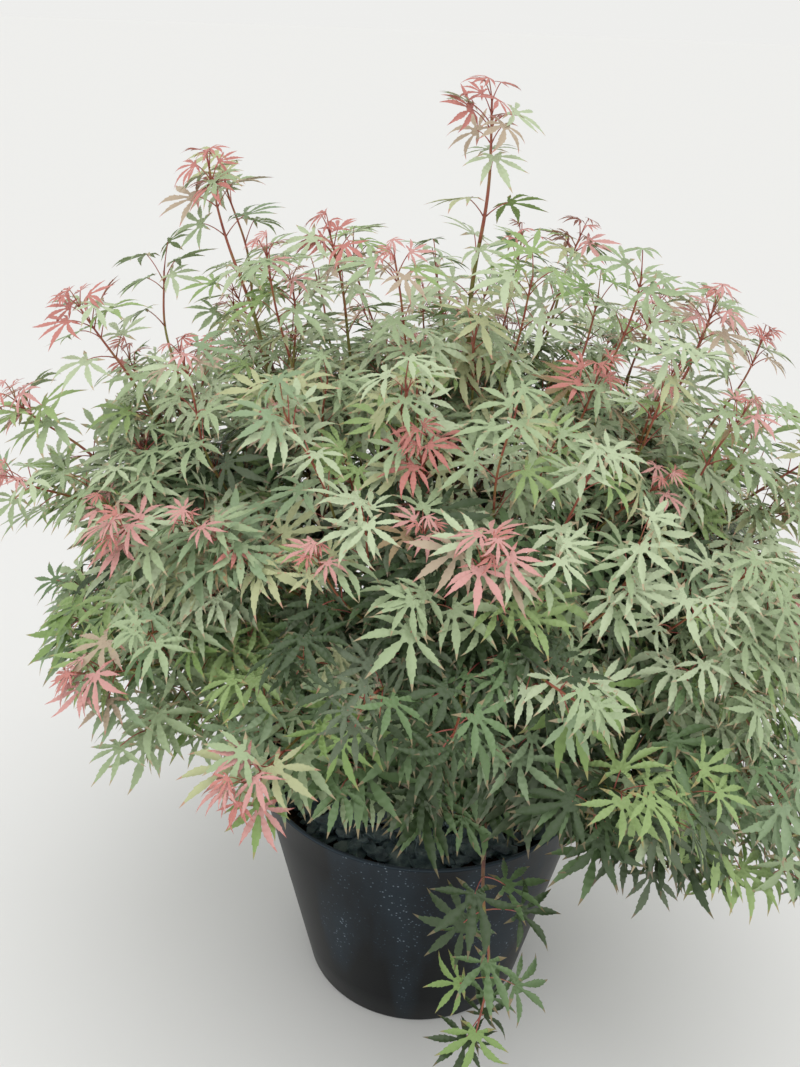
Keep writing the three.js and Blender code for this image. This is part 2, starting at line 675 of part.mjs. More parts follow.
// Boughs: each is cut clear of the trunk and of the boughs that come before it. The trunk's
// cutter runs on past the fork by the gap.
SHOOTS.forEach(layOut);
const pastFork = 1 + CUTTER_GROWTH / trunkCurve.getLength();
const cutters = [sweepLimb(trunkCurve, 0, pastFork, trunkRadius(CUTTER_GROWTH), TRUNK_CUT)];
const limbLine = measuringLine(trunkCurve, 0, 1, trunkRadius(0), LIMB_PIECES);
for (const { curve, habit, radiusAt, name, from } of SHOOTS) {
  const cut = from === 'trunk' ? MAIN_BOUGH_CUT : MINOR_BOUGH_CUT;
  const grownRadius = (along) => radiusAt(along) + CUTTER_GROWTH;
  const whole = sweepLimb(curve, 0, habit.bare, radiusAt, cut);
  const bough = cutters.reduce((solid, cutter) => solid.subtract(cutter), whole);
  cutters.push(sweepLimb(curve, 0, habit.bare, grownRadius, cut));
  limbLine.push(...measuringLine(curve, 0, habit.bare, radiusAt, LIMB_PIECES));
  addPiece(`bough_${name}`, bough, FINISHES.bough);
}

// Twigs: all of them grow before any leaf does, so that every leaf can be kept clear of them. A
// shoot's twigs also keep clear of the stems of the shoots that come after it.
const stemLines = SHOOTS.map(({ curve, habit, radiusAt }) => (
  measuringLine(curve, habit.bare, 1, radiusAt, LIMB_PIECES)));
const twigLine = [];
for (const shoot of SHOOTS) {
  const otherStems = stemLines.filter((_, index) => index !== shoot.index).flat();
  shoot.twigs = growTwigs(shoot, limbLine, [...otherStems, ...twigLine]);
  shoot.line = shoot.twigs.flatMap((twig) => twig.line);
  twigLine.push(...shoot.line);
}

// Masses: each is the leaves of one shoot, joined to its stem and to the twigs that bear them
const grownLeaves = [];
for (const shoot of SHOOTS) {
  const otherLine = SHOOTS.filter((other) => other !== shoot).flatMap((other) => other.line);
  const leaves = growLeaves(shoot, limbLine, otherLine, grownLeaves);
  grownLeaves.push(...leaves);
  const leafyTwigs = shoot.twigs.filter((twig) => twig.leafy);
  const mass = wasm.Manifold.union([
    ...leafyTwigs.map(({ curve, start, radiusAt, cut }) => (
      sweepLimb(curve, start, 1, radiusAt, cut))),
    ...leaves.map(leafSolid),
  ]);
  addPiece(`leaves_${shoot.name}`, mass, FINISHES.leaf);
}

export default plant;
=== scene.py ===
"""The looks of a potted Japanese maple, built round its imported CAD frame.

The crown grows by the rule of the CAD source, written again here in metres and carried on to finer
twigs: boughs spring from a short trunk and from each other, each runs on as a stem with side twigs
and pairs of leaves, and the leaves are of real size. +Z is up and -Y is the front.
"""

import logging
from dataclasses import dataclass, field
from enum import Enum
from functools import partial
from typing import Callable

import bpy
import numpy as np
from mathutils import Matrix


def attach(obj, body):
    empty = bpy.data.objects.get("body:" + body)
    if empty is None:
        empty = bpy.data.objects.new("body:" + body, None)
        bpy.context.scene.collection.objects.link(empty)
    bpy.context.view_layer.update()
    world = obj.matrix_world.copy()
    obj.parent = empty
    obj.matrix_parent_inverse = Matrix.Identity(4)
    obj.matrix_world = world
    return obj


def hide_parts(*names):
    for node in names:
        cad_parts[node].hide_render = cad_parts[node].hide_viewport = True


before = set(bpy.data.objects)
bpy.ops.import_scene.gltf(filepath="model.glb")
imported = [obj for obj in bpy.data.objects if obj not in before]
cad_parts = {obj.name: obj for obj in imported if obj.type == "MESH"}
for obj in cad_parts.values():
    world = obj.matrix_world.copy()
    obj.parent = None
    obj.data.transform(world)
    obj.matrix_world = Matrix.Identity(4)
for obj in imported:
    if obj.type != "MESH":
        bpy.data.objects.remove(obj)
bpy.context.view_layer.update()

Array = np.ndarray
UP = np.array([0.0, 0.0, 1.0])
log = logging.getLogger("maple")


# Helpers for shapes and places


@dataclass
class Shape:
    """A mesh as arrays.

    points is (n, 3). Each entry of faces is (f, k) indexes of points, for faces of k corners, and
    has an entry in slots, the number of the material, and in uvs, which is (f, k, 2) or None.
    """

    points: Array
    faces: list[Array]
    slots: list[int] = field(default_factory=list)
    uvs: list[Array | None] = field(default_factory=list)

    def __post_init__(self) -> None:
        """Fills in the first material and no UV where none are given."""
        self.slots = self.slots or [0] * len(self.faces)
        self.uvs = self.uvs or [None] * len(self.faces)


def join(shapes: list[Shape]) -> Shape:
    """Puts shapes together as one.

    Args:
        shapes: what to put together, in order.

    Returns:
        One shape, with each later shape's indexes moved on past the points before them.
    """
    starts = np.cumsum([0] + [len(shape.points) for shape in shapes])
    return Shape(
        np.concatenate([shape.points for shape in shapes]),
        [faces + start for shape, start in zip(shapes, starts) for faces in shape.faces],
        [slot for shape in shapes for slot in shape.slots],
        [uv for shape in shapes for uv in shape.uvs],
    )


def grid_faces(rows: int, columns: int) -> Array:
    """Quads of a grid of points that is closed round its columns.

    Args:
        rows: how many rings of points there are.
        columns: how many points a ring has.

    Returns:
        Indexes (f, 4). A quad takes a point, the next one round, and the two of the next ring.
    """
    row, column = np.meshgrid(np.arange(rows - 1), np.arange(columns), indexing="ij")
    beside = (column + 1) % columns
    corners = [row * columns + column, row * columns + beside]
    corners += [corners[1] + columns, corners[0] + columns]
    return np.stack(corners, -1).reshape(-1, 4)


def unit(ways: Array) -> Array:
    """Directions at unit length."""
    return ways / np.maximum(np.linalg.norm(ways, axis=-1, keepdims=True), 1e-9)


def turns_of(count: int) -> Array:
    """Even steps round a full turn, in radians, from 0 on."""
    return np.arange(count) * (2 * np.pi / count)


def circle(turns: Array) -> Array:
    """Points of the unit circle, (..., 2): each is (cos turn, sin turn)."""
    return np.stack([np.cos(turns), np.sin(turns)], -1)


def place_in_scene(thing: bpy.types.Object, axes: Array, place: tuple[float, float, float]) -> None:
    """Links a camera or a light to the scene.

    Args:
        thing: the camera or light.
        axes: the directions of its own x, y and z, as columns.
        place: where it stands.
    """
    matrix = np.eye(4)
    matrix[:3, :3] = axes
    matrix[:3, 3] = place
    thing.matrix_world = Matrix(matrix.tolist())
    bpy.context.scene.collection.objects.link(thing)


def rising(value: float, start: float, width: float) -> float:
    """A share that rises evenly from 0 at start to 1 over a width."""
    return float(np.clip((value - start) / width, 0, 1))


def falling(value: float, end: float, width: float) -> float:
    """A share that falls evenly from 1 to 0 at end, over a width."""
    return rising(-value, -end, width)


def ripple(points: Array, wavelength: float, seed: int, waves: int = 12) -> Array:
    """Smooth lumps from -1 to 1: the mean of plane waves that run in random directions.

    Args:
        points: where to work them out, (..., k).
        wavelength: the mean distance between crests.
        seed: what the random stream starts from.
        waves: how many plane waves are laid over each other.

    Returns:
        One number for each point.
    """
    rng = np.random.default_rng(seed)
    ways = unit(rng.normal(size=(waves, points.shape[-1]))) * (2 * np.pi / wavelength)
    ways *= rng.uniform(0.7, 1.4, (waves, 1))
    phases = rng.uniform(0, 2 * np.pi, waves)
    return np.sin(points @ ways.T + phases).mean(-1) * np.sqrt(waves) / 2


def tubes(centres: Array, radii: Array, sides: int) -> Shape:
    """Tubes with closed ends.

    A point lies at centre + radius * (across * cos(turn) + over * sin(turn)), where across is the
    level direction at right angles to the tube's whole way, less its part along the tangent, and
    over is the tangent crossed with it.

    Args:
        centres: middle of each ring, (tubes, rings, 3).
        radii: radius of each ring, (tubes, rings), or of each of its points, (tubes, rings, sides).
        sides: how many points a ring has.

    Returns:
        The tubes as one shape, with UVs in metres round and along each of them.
    """
    count, rings, _ = centres.shape
    tangents = unit(np.gradient(centres, axis=1))
    chord = centres[:, -1] - centres[:, 0]
    side = np.stack([-chord[:, 1], chord[:, 0], np.zeros(count)], -1)
    side[np.linalg.norm(side, axis=1) < 1e-4] = (1, 0, 0)
    side = np.broadcast_to(side[:, None], centres.shape)
    across = unit(side - tangents * (side * tangents).sum(-1, keepdims=True))
    over = np.cross(tangents, across)
    turn = turns_of(sides)
    spoke = across[:, :, None] * np.cos(turn)[:, None] + over[:, :, None] * np.sin(turn)[:, None]
    if radii.ndim == 2:
        radii = np.repeat(radii[:, :, None], sides, axis=2)
    points = centres[:, :, None] + spoke * radii[..., None]
    first = (np.arange(count) * rings * sides)[:, None, None]
    quads = grid_faces(rings, sides)
    ends = [np.arange(sides)[::-1], (rings - 1) * sides + np.arange(sides)]
    steps = np.linalg.norm(np.diff(centres, axis=1), axis=-1)
    along = np.concatenate([np.zeros((count, 1)), np.cumsum(steps, axis=1)], axis=1)
    ring, column = quads[:, 0] // sides, quads[:, 0] % sides
    u = np.stack([column, column + 1, column + 1, column], -1) / sides
    u = u[None] * (2 * np.pi * radii.mean(axis=(1, 2)))[:, None, None]
    v = np.stack([along[:, ring], along[:, ring], along[:, ring + 1], along[:, ring + 1]], -1)
    uv = np.stack([u, v], -1)
    faces = [(first + quads[None]).reshape(-1, 4)]
    faces += [(first[:, 0] + end[None]).reshape(-1, sides) for end in ends]
    return Shape(points.reshape(-1, 3), faces, uvs=[uv.reshape(-1, 4, 2), None, None])


def build_mesh(name: str, shape: Shape, materials: list[bpy.types.Material]) -> bpy.types.Object:
    """Makes a Blender object of a shape, at the origin and smooth.

    Args:
        name: name of the object and its mesh.
        shape: the arrays.
        materials: the object's materials, which the shape's slots count.

    Returns:
        The object, linked to the scene.
    """
    sizes = np.concatenate([np.full(len(faces), faces.shape[1]) for faces in shape.faces])
    corners = np.concatenate([faces.ravel() for faces in shape.faces])
    slots = [np.full(len(faces), slot) for faces, slot in zip(shape.faces, shape.slots)]
    mesh = bpy.data.meshes.new(name)
    mesh.vertices.add(len(shape.points))
    mesh.vertices.foreach_set("co", shape.points.astype(np.float32).ravel())
    mesh.loops.add(len(corners))
    mesh.loops.foreach_set("vertex_index", corners.astype(np.int32))
    mesh.polygons.add(len(sizes))
    mesh.polygons.foreach_set("loop_start", (np.cumsum(sizes) - sizes).astype(np.int32))
    mesh.polygons.foreach_set("loop_total", sizes.astype(np.int32))
    mesh.polygons.foreach_set("material_index", np.concatenate(slots).astype(np.int32))
    mesh.polygons.foreach_set("use_smooth", np.ones(len(sizes), dtype=bool))
    if any(uv is not None for uv in shape.uvs):
        uvs = [np.zeros((*faces.shape, 2)) if uv is None else uv
               for faces, uv in zip(shape.faces, shape.uvs)]
        layer = mesh.uv_layers.new(name="surface")
        flat = np.concatenate([uv.reshape(-1, 2) for uv in uvs])
        layer.data.foreach_set("uv", flat.astype(np.float32).ravel())
    mesh.update(calc_edges=True)
    mesh.validate()
    for material in materials:
        mesh.materials.append(material)
    piece = bpy.data.objects.new(name, mesh)
    bpy.context.scene.collection.objects.link(piece)
    return piece


def add_piece(
    name: str, shape: Shape, materials: list[bpy.types.Material], nodes: list[str]
) -> bpy.types.Object:
    """Makes a piece of the plant that stands for CAD nodes.

    Args:
        name: name of the piece.
        shape: its arrays.
        materials: its materials.
        nodes: the CAD nodes that it replaces.

    Returns:
        The piece, which rides on the plant's one body.
    """
    piece = build_mesh(name, shape, materials)
    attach(piece, "root")
    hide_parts(*nodes)
    triangles = sum(len(faces) * (faces.shape[1] - 2) for faces in shape.faces)
    log.info("%s: %d triangles", name, triangles)
    return piece


# Helpers for materials


def linear(colour: str) -> tuple[float, float, float, float]:
    """Turns a colour linear.

    Args:
        colour: an sRGB hex colour.

    Returns:
        Its linear red, green and blue, with alpha.
    """
    srgb = np.array([int(colour[i:i + 2], 16) for i in (1, 3, 5)]) / 255
    values = np.where(srgb <= 0.04045, srgb / 12.92, ((srgb + 0.055) / 1.055) ** 2.4)
    return (*(float(value) for value in values), 1.0)


def add_node(
    tree: bpy.types.NodeTree,
    kind: str,
    inputs: dict | None = None,
    stops: list[tuple[float, str]] | None = None,
    **settings: object,
) -> bpy.types.Node:
    """Adds a shader node with its settings and links.

    Args:
        tree: the material's node tree.
        kind: Blender's name for the kind of node, less the ShaderNode that it begins with.
        inputs: for each input by name or number, a value, the output that is linked to it, or a
            node whose first output is.
        stops: places and sRGB colours along a colour ramp.
        settings: the node's own settings.

    Returns:
        The node.
    """
    node = tree.nodes.new(f"ShaderNode{kind}")
    for name, value in settings.items():
        setattr(node, name, value)
    for name, value in (inputs or {}).items():
        if isinstance(value, bpy.types.Node):
            value = value.outputs[0]
        if isinstance(value, bpy.types.NodeSocket):
            tree.links.new(value, node.inputs[name])
        else:
            node.inputs[name].default_value = value
    for index, (place, colour) in enumerate(stops or []):
        ramp = node.color_ramp.elements
        stop = ramp[index] if index < len(ramp) else ramp.new(place)
        stop.position = place
        stop.color = linear(colour)
    return node


def new_material(name: str) -> tuple[bpy.types.Material, Callable[..., bpy.types.Node]]:
    """Makes an empty material that uses nodes.

    Args:
        name: its name.

    Returns:
        The material, and add_node for its tree.
    """
    material = bpy.data.materials.new(name)
    material.use_nodes = True
    material.node_tree.nodes.clear()
    return material, partial(add_node, material.node_tree)


# Finishes


@dataclass(frozen=True)
class MouldedTub:
    """Rotation-moulded polyethylene: smooth, blue-black, with a soft gloss and dried lime specks.

    Widths and spacings are real sizes in metres. A painted highlight, a pale line for the light on
    the rounded rim and foot, begins and is full at the two insets from the tub's top and foot.
    """

    plastic: str = "#080b0e"
    lime: str = "#808c97"
    streak: str = "#253039"
    roughness: float = 0.36
    limed_roughness: float = 0.8
    speck_spacing: float = 0.0058
    band_width: float = 0.09
    band_length: float = 1 / 1.5
    band_shift: float = 1.44
    clump_width: float = 0.022
    film: float = 0.22
    half_height: float = 0.18
    # The painted highlight round rim and foot: where it begins and is full, and how pale it gets
    painted_highlight_edge: tuple[float, float] = (0.003, 0.001)
    painted_highlight: float = 0.4
    peel_width: float = 1 / 260

    def material(self) -> bpy.types.Material:
        """Lime specks gather in upright bands where water ran, and a pale line round rim and foot
        is a painted highlight of the light on their rounded edges.

        Returns:
            The material.
        """
        material, add = new_material("moulded polyethylene")
        place = add("TexCoord").outputs["Object"]
        across = 1 / self.band_width
        runs = add("Mapping", {
            "Vector": place, "Scale": (across, across, 1 / self.band_length),
            "Location": (self.band_shift, 0, 0)})
        bands = add("TexNoise", {"Vector": runs, "Scale": 1.0, "Detail": 3.0})
        banded = add("MapRange", {"Value": bands, "From Min": 0.48, "From Max": 0.64})
        clumps = add("TexNoise", {"Vector": place, "Scale": 1 / self.clump_width, "Detail": 2.0})
        clumped = add("MapRange", {"Value": clumps, "From Min": 0.38, "From Max": 0.54})
        specks = add("TexVoronoi", {"Vector": place, "Scale": 1 / self.speck_spacing})
        dotted = add("MapRange", {
            "Value": specks.outputs["Distance"], "From Min": 0.34, "From Max": 0.12})
        thick = add("Math", {0: banded, 1: clumped}, operation="MULTIPLY")
        limed = add("Math", {0: thick, 1: dotted}, operation="MULTIPLY")
        film = add("Math", {0: banded, 1: self.film}, operation="MULTIPLY")
        marks = add("Math", {0: limed, 1: film}, operation="MAXIMUM")
        height = add("SeparateXYZ", {0: place}).outputs["Z"]
        from_middle = add("Math", {0: height, 1: self.half_height}, operation="SUBTRACT")
        edge = add("Math", {0: from_middle}, operation="ABSOLUTE")
        # Painted highlight: a pale, rougher line round the top of the rim and the foot, for the
        # light on their edges
        first, last = (self.half_height - inset for inset in self.painted_highlight_edge)
        painted_highlight = add("MapRange", {
            "Value": edge, "From Min": first, "From Max": last, "To Max": self.painted_highlight})
        mask = add("Math", {0: marks, 1: painted_highlight}, operation="MAXIMUM")
        colour = add("ValToRGB", {0: mask}, [
            (0.0, self.plastic), (0.3, self.streak), (1.0, self.lime)])
        rough = add("MapRange", {
            "Value": mask, "To Min": self.roughness, "To Max": self.limed_roughness})
        peel = add("TexNoise", {"Vector": place, "Scale": 1 / self.peel_width, "Detail": 2.0})
        bump = add("Bump", {"Height": peel, "Strength": 0.08, "Distance": 0.001})
        shader = add("BsdfPrincipled", {
            "Base Color": colour, "Roughness": rough, "Normal": bump, "IOR": 1.5,
            "Specular IOR Level": 0.12})
        add("OutputMaterial", {"Surface": shader})
        return material


@dataclass(frozen=True)
class MottledFinish:
    """A rough natural surface whose colour changes in patches, with a grain in relief.

    patch and grain are the real sizes of the patches and of the grain, in metres. The relief is
    grain_depth high. stretch draws the pattern out along the surface's own second direction, where
    the piece has a UV map in metres.
    """

    name: str
    colours: tuple[str, ...]
    roughness: float
    patch: float
    grain: float
    grain_depth: float
    stretch: float = 0.0

    def material(self) -> bpy.types.Material:
        """Noise in patches runs through the colours, and a finer one raises the grain.

        Returns:
            The material.
        """
        material, add = new_material(self.name)
        place = add("TexCoord").outputs["UV" if self.stretch else "Object"]
        if self.stretch:
            place = add("Mapping", {"Vector": place, "Scale": (1, 1 / self.stretch, 1)})
        patches = add("TexNoise", {
            "Vector": place, "Scale": 1 / self.patch, "Detail": 4.0, "Roughness": 0.6})
        spread = np.linspace(0.34, 0.66, len(self.colours)).tolist()
        colour = add("ValToRGB", {0: patches}, list(zip(spread, self.colours)))
        grain = add("TexNoise", {
            "Vector": place, "Scale": 1 / self.grain, "Detail": 3.0, "Roughness": 0.65})
        bump = add("Bump", {"Height": grain, "Strength": 0.7, "Distance": self.grain_depth})
        shader = add("BsdfPrincipled", {
            "Base Color": colour, "Roughness": self.roughness, "Normal": bump})
        add("OutputMaterial", {"Surface": shader})
        return material


# Compost is damp and dark with paler crumbs, and split slate has blue-grey flakes of many tones.
COMPOST = MottledFinish(
    "damp compost", ("#20160f", "#37271b", "#58412e"), 0.95, 0.012, 0.004, 0.002)
SLATE = MottledFinish(
    "split slate", ("#27343a", "#3f5056", "#56676a", "#74807e"), 0.6, 0.02, 0.003, 0.0006)
# Maple bark is smooth and thin. It has long pale streaks when old, and is glossy when young.
OLD_BARK = MottledFinish(
    "old maple bark", ("#35261f", "#54402f", "#6d5642", "#857562"), 0.8, 0.006, 0.0018, 0.0008, 6)
BOUGH_BARK = MottledFinish(
    "maple bough bark", ("#3b261e", "#5a3a2a", "#6f4d37", "#75683f"), 0.7, 0.006, 0.0018, 0.0005, 6)
RED_BARK = MottledFinish(
    "two-year bark", ("#4d2c22", "#633b2c", "#735a37"), 0.55, 0.02, 0.002, 0.0002)
OLIVE_BARK = MottledFinish(
    "one-year bark", ("#6f6a32", "#7f7a3c", "#8a5a3a"), 0.5, 0.025, 0.002, 0.0002)
SHOOT_BARK = MottledFinish(
    "new shoot skin", ("#8c4238", "#9d5643", "#93703f"), 0.45, 0.02, 0.002, 0.0001)
STALK_SKIN = MottledFinish(
    "leaf stalk skin", ("#a8524a", "#b5635a", "#9a7a4e"), 0.45, 0.03, 0.002, 0.0001)


@dataclass(frozen=True)
class LeafBlade:
    """A living maple leaf: thin and matt, with a dull waxy sheen and sunk veins.

    The blade's colour is the same all over, as the tones that depend on a place, the painted light
    and shade among them, are dealt out by spray. The tips of its lobes have a colour of their own.
    """

    name: str
    blade: str
    tip: str
    roughness: float = 0.48
    vein_count: float = 7.0
    vein_depth: float = 0.0006

    def surface(self, part: str, colour: str) -> bpy.types.Material:
        """A leaf surface in one colour.

        Args:
            part: which part of the leaf it is on.
            colour: its colour.

        Returns:
            The material. Its veins are waves along the lobe that slant back from the midrib, and
            give the leaf its finely pleated look.
        """
        material, add = new_material(f"leaf {part} {self.name}")
        split = add("SeparateXYZ", {0: add("TexCoord").outputs["UV"]})
        slant = add("Math", {0: split.outputs["X"]}, operation="ABSOLUTE")
        waves = add(
            "Math", {0: split.outputs["Y"], 1: 2 * np.pi * self.vein_count, 2: slant},
            operation="MULTIPLY_ADD")
        veins = add("Math", {0: waves}, operation="SINE")
        bump = add("Bump", {"Height": veins, "Strength": 0.35, "Distance": self.vein_depth})
        shader = add("BsdfPrincipled", {
            "Base Color": linear(colour), "Roughness": self.roughness,
            "Specular IOR Level": 0.5, "Normal": bump})
        add("OutputMaterial", {"Surface": shader})
        return material

    def materials(self) -> list[bpy.types.Material]:
        """The blade's material and that of the lobes' tips."""
        return [self.surface("blade", self.blade), self.surface("tip", self.tip)]


class Tone(Enum):
    """The colours of leaves, from the youngest at the shoots' tips to the oldest. PALE is painted
    light, mostly dealt out high up, and DEEP and SMOKY are painted shade, mostly dealt out inside
    and low in front.
    """

    ROSE = LeafBlade("rose", "#cf9a94", "#c37f79")
    SALMON = LeafBlade("salmon", "#c47f76", "#b5665e")
    BRONZE = LeafBlade("bronze", "#a08a66", "#a37258")
    DUSTY = LeafBlade("dusty", "#b8a68f", "#c08c7f")
    CREAM = LeafBlade("cream", "#b6bb8e", "#be957c")
    FRESH = LeafBlade("fresh", "#96ae70", "#a89d6a")
    LIME = LeafBlade("lime", "#86a25e", "#99975f")
    PALE = LeafBlade("pale", "#b8c6a2", "#bcab8c")
    SAGE = LeafBlade("sage", "#a1b38a", "#ae9f7e")
    GREY = LeafBlade("grey", "#8ca27c", "#9f9175")
    MOSS = LeafBlade("moss", "#6a8458", "#8e8060")
    DEEP = LeafBlade("deep", "#3e5130", "#6a6144")
    SMOKY = LeafBlade("smoky", "#5d6b51", "#7b6f5b")


@dataclass(frozen=True)
class StudioFloor:
    """Matt painted board: an even pale floor with no pattern that would draw the eye."""

    colour: str = "#e1e1e0"

    def material(self) -> bpy.types.Material:
        """A faint unevenness in the paint's gloss is all that shows.

        Returns:
            The material.
        """
        material, add = new_material("matt painted board")
        place = add("TexCoord").outputs["Object"]
        cloud = add("TexNoise", {"Vector": place, "Scale": 3.0})
        rough = add("MapRange", {"Value": cloud, "To Min": 0.8, "To Max": 0.95})
        shader = add("BsdfPrincipled", {"Base Color": linear(self.colour), "Roughness": rough})
        add("OutputMaterial", {"Surface": shader})
        return material


# Tub, potting mix and chippings


@dataclass
class Tub:
    """The round tapered tub and what fills it."""

    height: float = 0.360
    rim_radius: float = 0.240
    base_radius: float = 0.165
    wall: float = 0.006
    floor: float = 0.009
    foot: float = 0.005
    foot_round: tuple[float, float] = (0.0012, 0.0014)
    fillet: tuple[float, float] = (0.006, 0.004)
    rim_round: float = 0.0022
    segments: int = 160
    drain_count: int = 4
    drain_radius: float = 0.009
    drain_circle: float = 0.095
    mix_bottom: float = 0.0093
    mix_top: float = 0.322
    mix_inset: float = 0.0008
    lump_depth: float = 0.006
    lump_widths: tuple[float, float] = (0.018, 0.007)
    slate_top: float = 0.340
    trunk_clear: float = 0.040
    chip_count: int = 1150
    chip_reach: tuple[float, float] = (0.009, 0.021)
    chip_thickness: tuple[float, float] = (0.0025, 0.0055)
    chip_width: tuple[float, float] = (0.45, 0.8)
    chip_layers: tuple[float, ...] = (0.3, 0.62, 0.86)
    chip_rings: tuple[float, ...] = (0.82, 1.0, 0.86)
    chip_levels: tuple[float, ...] = (-0.5, 0.1, 0.5)
    chip_sides: int = 6
    chip_tilt: float = 0.16
    chip_sink: float = 0.002
    slate_dish: float = 0.004
    seed: int = 11

    def radius(self, height: Array | float) -> Array | float:
        """The wall's outer radius at a height."""
        return self.base_radius + (self.rim_radius - self.base_radius) * height / self.height

    def inner(self, height: float) -> float:
        """The wall's inner radius at a height."""
        return float(self.radius(height)) - self.wall

    def turn(self, profile: list[tuple[float, float]]) -> Shape:
        """A solid of revolution about +Z.

        Args:
            profile: pairs of radius and height, from the bottom outwards and up, with its first
                and last points on the axis.

        Returns:
            The shape: rings of points at (radius cos turn, radius sin turn, height), and one point
            at either pole.
        """
        rings = np.array(profile[1:-1])
        flat = rings[:, None, :1] * circle(turns_of(self.segments))[None]
        high = np.broadcast_to(rings[:, None, 1:], (*flat.shape[:2], 1))
        points = np.concatenate([flat, high], -1).reshape(-1, 3)
        poles = np.array([[0, 0, profile[0][1]], [0, 0, profile[-1][1]]])
        ring = np.arange(self.segments)
        beside = (ring + 1) % self.segments
        last = len(points) - self.segments
        bottom = np.stack([beside, ring, np.full_like(ring, len(points))], -1)
        top = np.stack([last + ring, last + beside, np.full_like(ring, len(points) + 1)], -1)
        faces = [grid_faces(len(rings), self.segments), bottom, top]
        return Shape(np.concatenate([points, poles]), faces)

    def rim_arc(self, radius: float, start: float) -> list[tuple[float, float]]:
        """A quarter circle of the rim's rounding.

        Args:
            radius: how far its centre is from the axis.
            start: the angle that it starts from, in degrees.

        Returns:
            Pairs of radius and height.
        """
        turns = np.radians(start + np.linspace(0, 90, 5))
        middle = self.height - self.rim_round
        arc = self.rim_round * circle(turns)
        return [(radius + aside, middle + above) for aside, above in arc.tolist()]

    def build_shell(self) -> None:
        """Makes the wall and floor, and drills the drain holes through the floor."""
        outer = self.rim_radius - self.rim_round
        inner = self.rim_radius - self.wall + self.rim_round
        levels = np.linspace(self.foot, self.height - 2 * self.rim_round, 8)
        profile = [(0, 0), (self.base_radius - self.foot, 0)]
        profile += [(self.base_radius - self.foot_round[0], self.foot_round[1])]
        profile += [(float(self.radius(level)), float(level)) for level in levels]
        profile += self.rim_arc(outer, 0) + self.rim_arc(inner, 90)
        profile += [(self.inner(self.floor), self.floor + self.fillet[1])]
        profile += [(self.inner(self.floor) - self.fillet[0], self.floor), (0, self.floor)]
        shell = add_piece(
            "tub_shell", self.turn(profile), [MouldedTub().material()], ["tub"])
        for hole in range(self.drain_count):
            middle = self.drain_circle * circle(2 * np.pi * (hole + 0.5) / self.drain_count)
            ends = [[*middle, -self.floor], [*middle, 2 * self.floor]]
            drill = build_mesh(
                "drill", tubes(np.array([ends]), np.full((1, 2), self.drain_radius), 24), [])
            cut = shell.modifiers.new("drain", "BOOLEAN")
            cut.operation = "DIFFERENCE"
            cut.solver = "EXACT"
            cut.object = drill
            with bpy.context.temp_override(object=shell, active_object=shell):
                bpy.ops.object.modifier_apply(modifier=cut.name)
            bpy.data.objects.remove(drill)
        shell.data.set_sharp_from_angle(angle=np.radians(35))

    def build_mix(self) -> None:
        """Makes the potting mix: a filling whose top is lumpy."""
        edge = self.inner(self.mix_top) - self.mix_inset
        profile = [(0, self.mix_bottom)]
        profile += [(self.inner(self.mix_bottom) - self.mix_inset, self.mix_bottom)]
        profile += [(float(radius), self.mix_top) for radius in np.linspace(edge, 0, 40)]
        mix = self.turn(profile)
        top = mix.points[:, 2] > self.mix_top - self.lump_depth
        coarse, fine = (
            ripple(mix.points[:, :2], width, self.seed + index)
            for index, width in enumerate(self.lump_widths))
        mix.points[top, 2] -= self.lump_depth * np.clip(0.5 + 0.25 * (coarse + fine)[top], 0, 1)
        add_piece("potting_mix_lumps", mix, [COMPOST.material()], ["potting_mix"])

    def build_chips(self) -> None:
        """Makes the slate chippings: flat six-cornered flakes that lie over each other.

        A flake is three six-sided rings, and a corner lies at reach * (cos turn, width * sin turn),
        turned to the flake's own heading and tilt. The middle ring stands out furthest.
        """
        rng = np.random.default_rng(self.seed)
        count, rings, sides = self.chip_count, len(self.chip_rings), self.chip_sides
        room = self.inner(self.mix_top) - self.chip_reach[1]
        share = rng.uniform(0, 1, count)
        away = np.sqrt(self.trunk_clear ** 2 * (1 - share) + room ** 2 * share)
        compass = rng.uniform(0, 2 * np.pi, count)
        reach = rng.uniform(*self.chip_reach, count)
        thick = rng.uniform(*self.chip_thickness, count)
        width = rng.uniform(*self.chip_width, count)
        dish = self.slate_dish * (1 - away / room)
        layer = rng.choice(self.chip_layers, count)
        height = self.mix_top + (self.slate_top - self.mix_top) * layer - dish - self.chip_sink
        turn = turns_of(sides) + rng.uniform(-0.3, 0.3, (count, sides))
        corner = reach[:, None] * rng.uniform(0.8, 1.1, (count, sides))
        outline = np.stack([corner * np.cos(turn), corner * width[:, None] * np.sin(turn)], -1)
        scales = np.array(self.chip_rings)[None, :, None, None]
        levels = (thick[:, None] * np.array(self.chip_levels))[:, :, None, None]
        corners = np.concatenate(
            [outline[:, None] * scales, np.broadcast_to(levels, (count, rings, sides, 1))], -1)
        heading = rng.uniform(0, 2 * np.pi, count)
        tilt = rng.normal(0, self.chip_tilt, (2, count))
        ahead = circle(heading)
        along = np.concatenate([ahead, tilt[0][:, None]], -1)
        normal = unit(np.concatenate([-tilt[0][:, None] * ahead, np.ones((count, 1))], -1))
        along = unit(along - normal * (along * normal).sum(-1, keepdims=True))
        beside = unit(np.cross(normal, along) + normal * tilt[1][:, None])
        axes = np.stack([along, beside, np.cross(along, beside)], 1)
        middle = np.stack([away * np.cos(compass), away * np.sin(compass), height], -1)
        points = np.einsum("nrkc,ncx->nrkx", corners, axes) + middle[:, None, None]
        points[..., 2] = np.clip(points[..., 2], self.mix_top - self.lump_depth, self.slate_top)
        first = (np.arange(count) * rings * sides)[:, None, None]
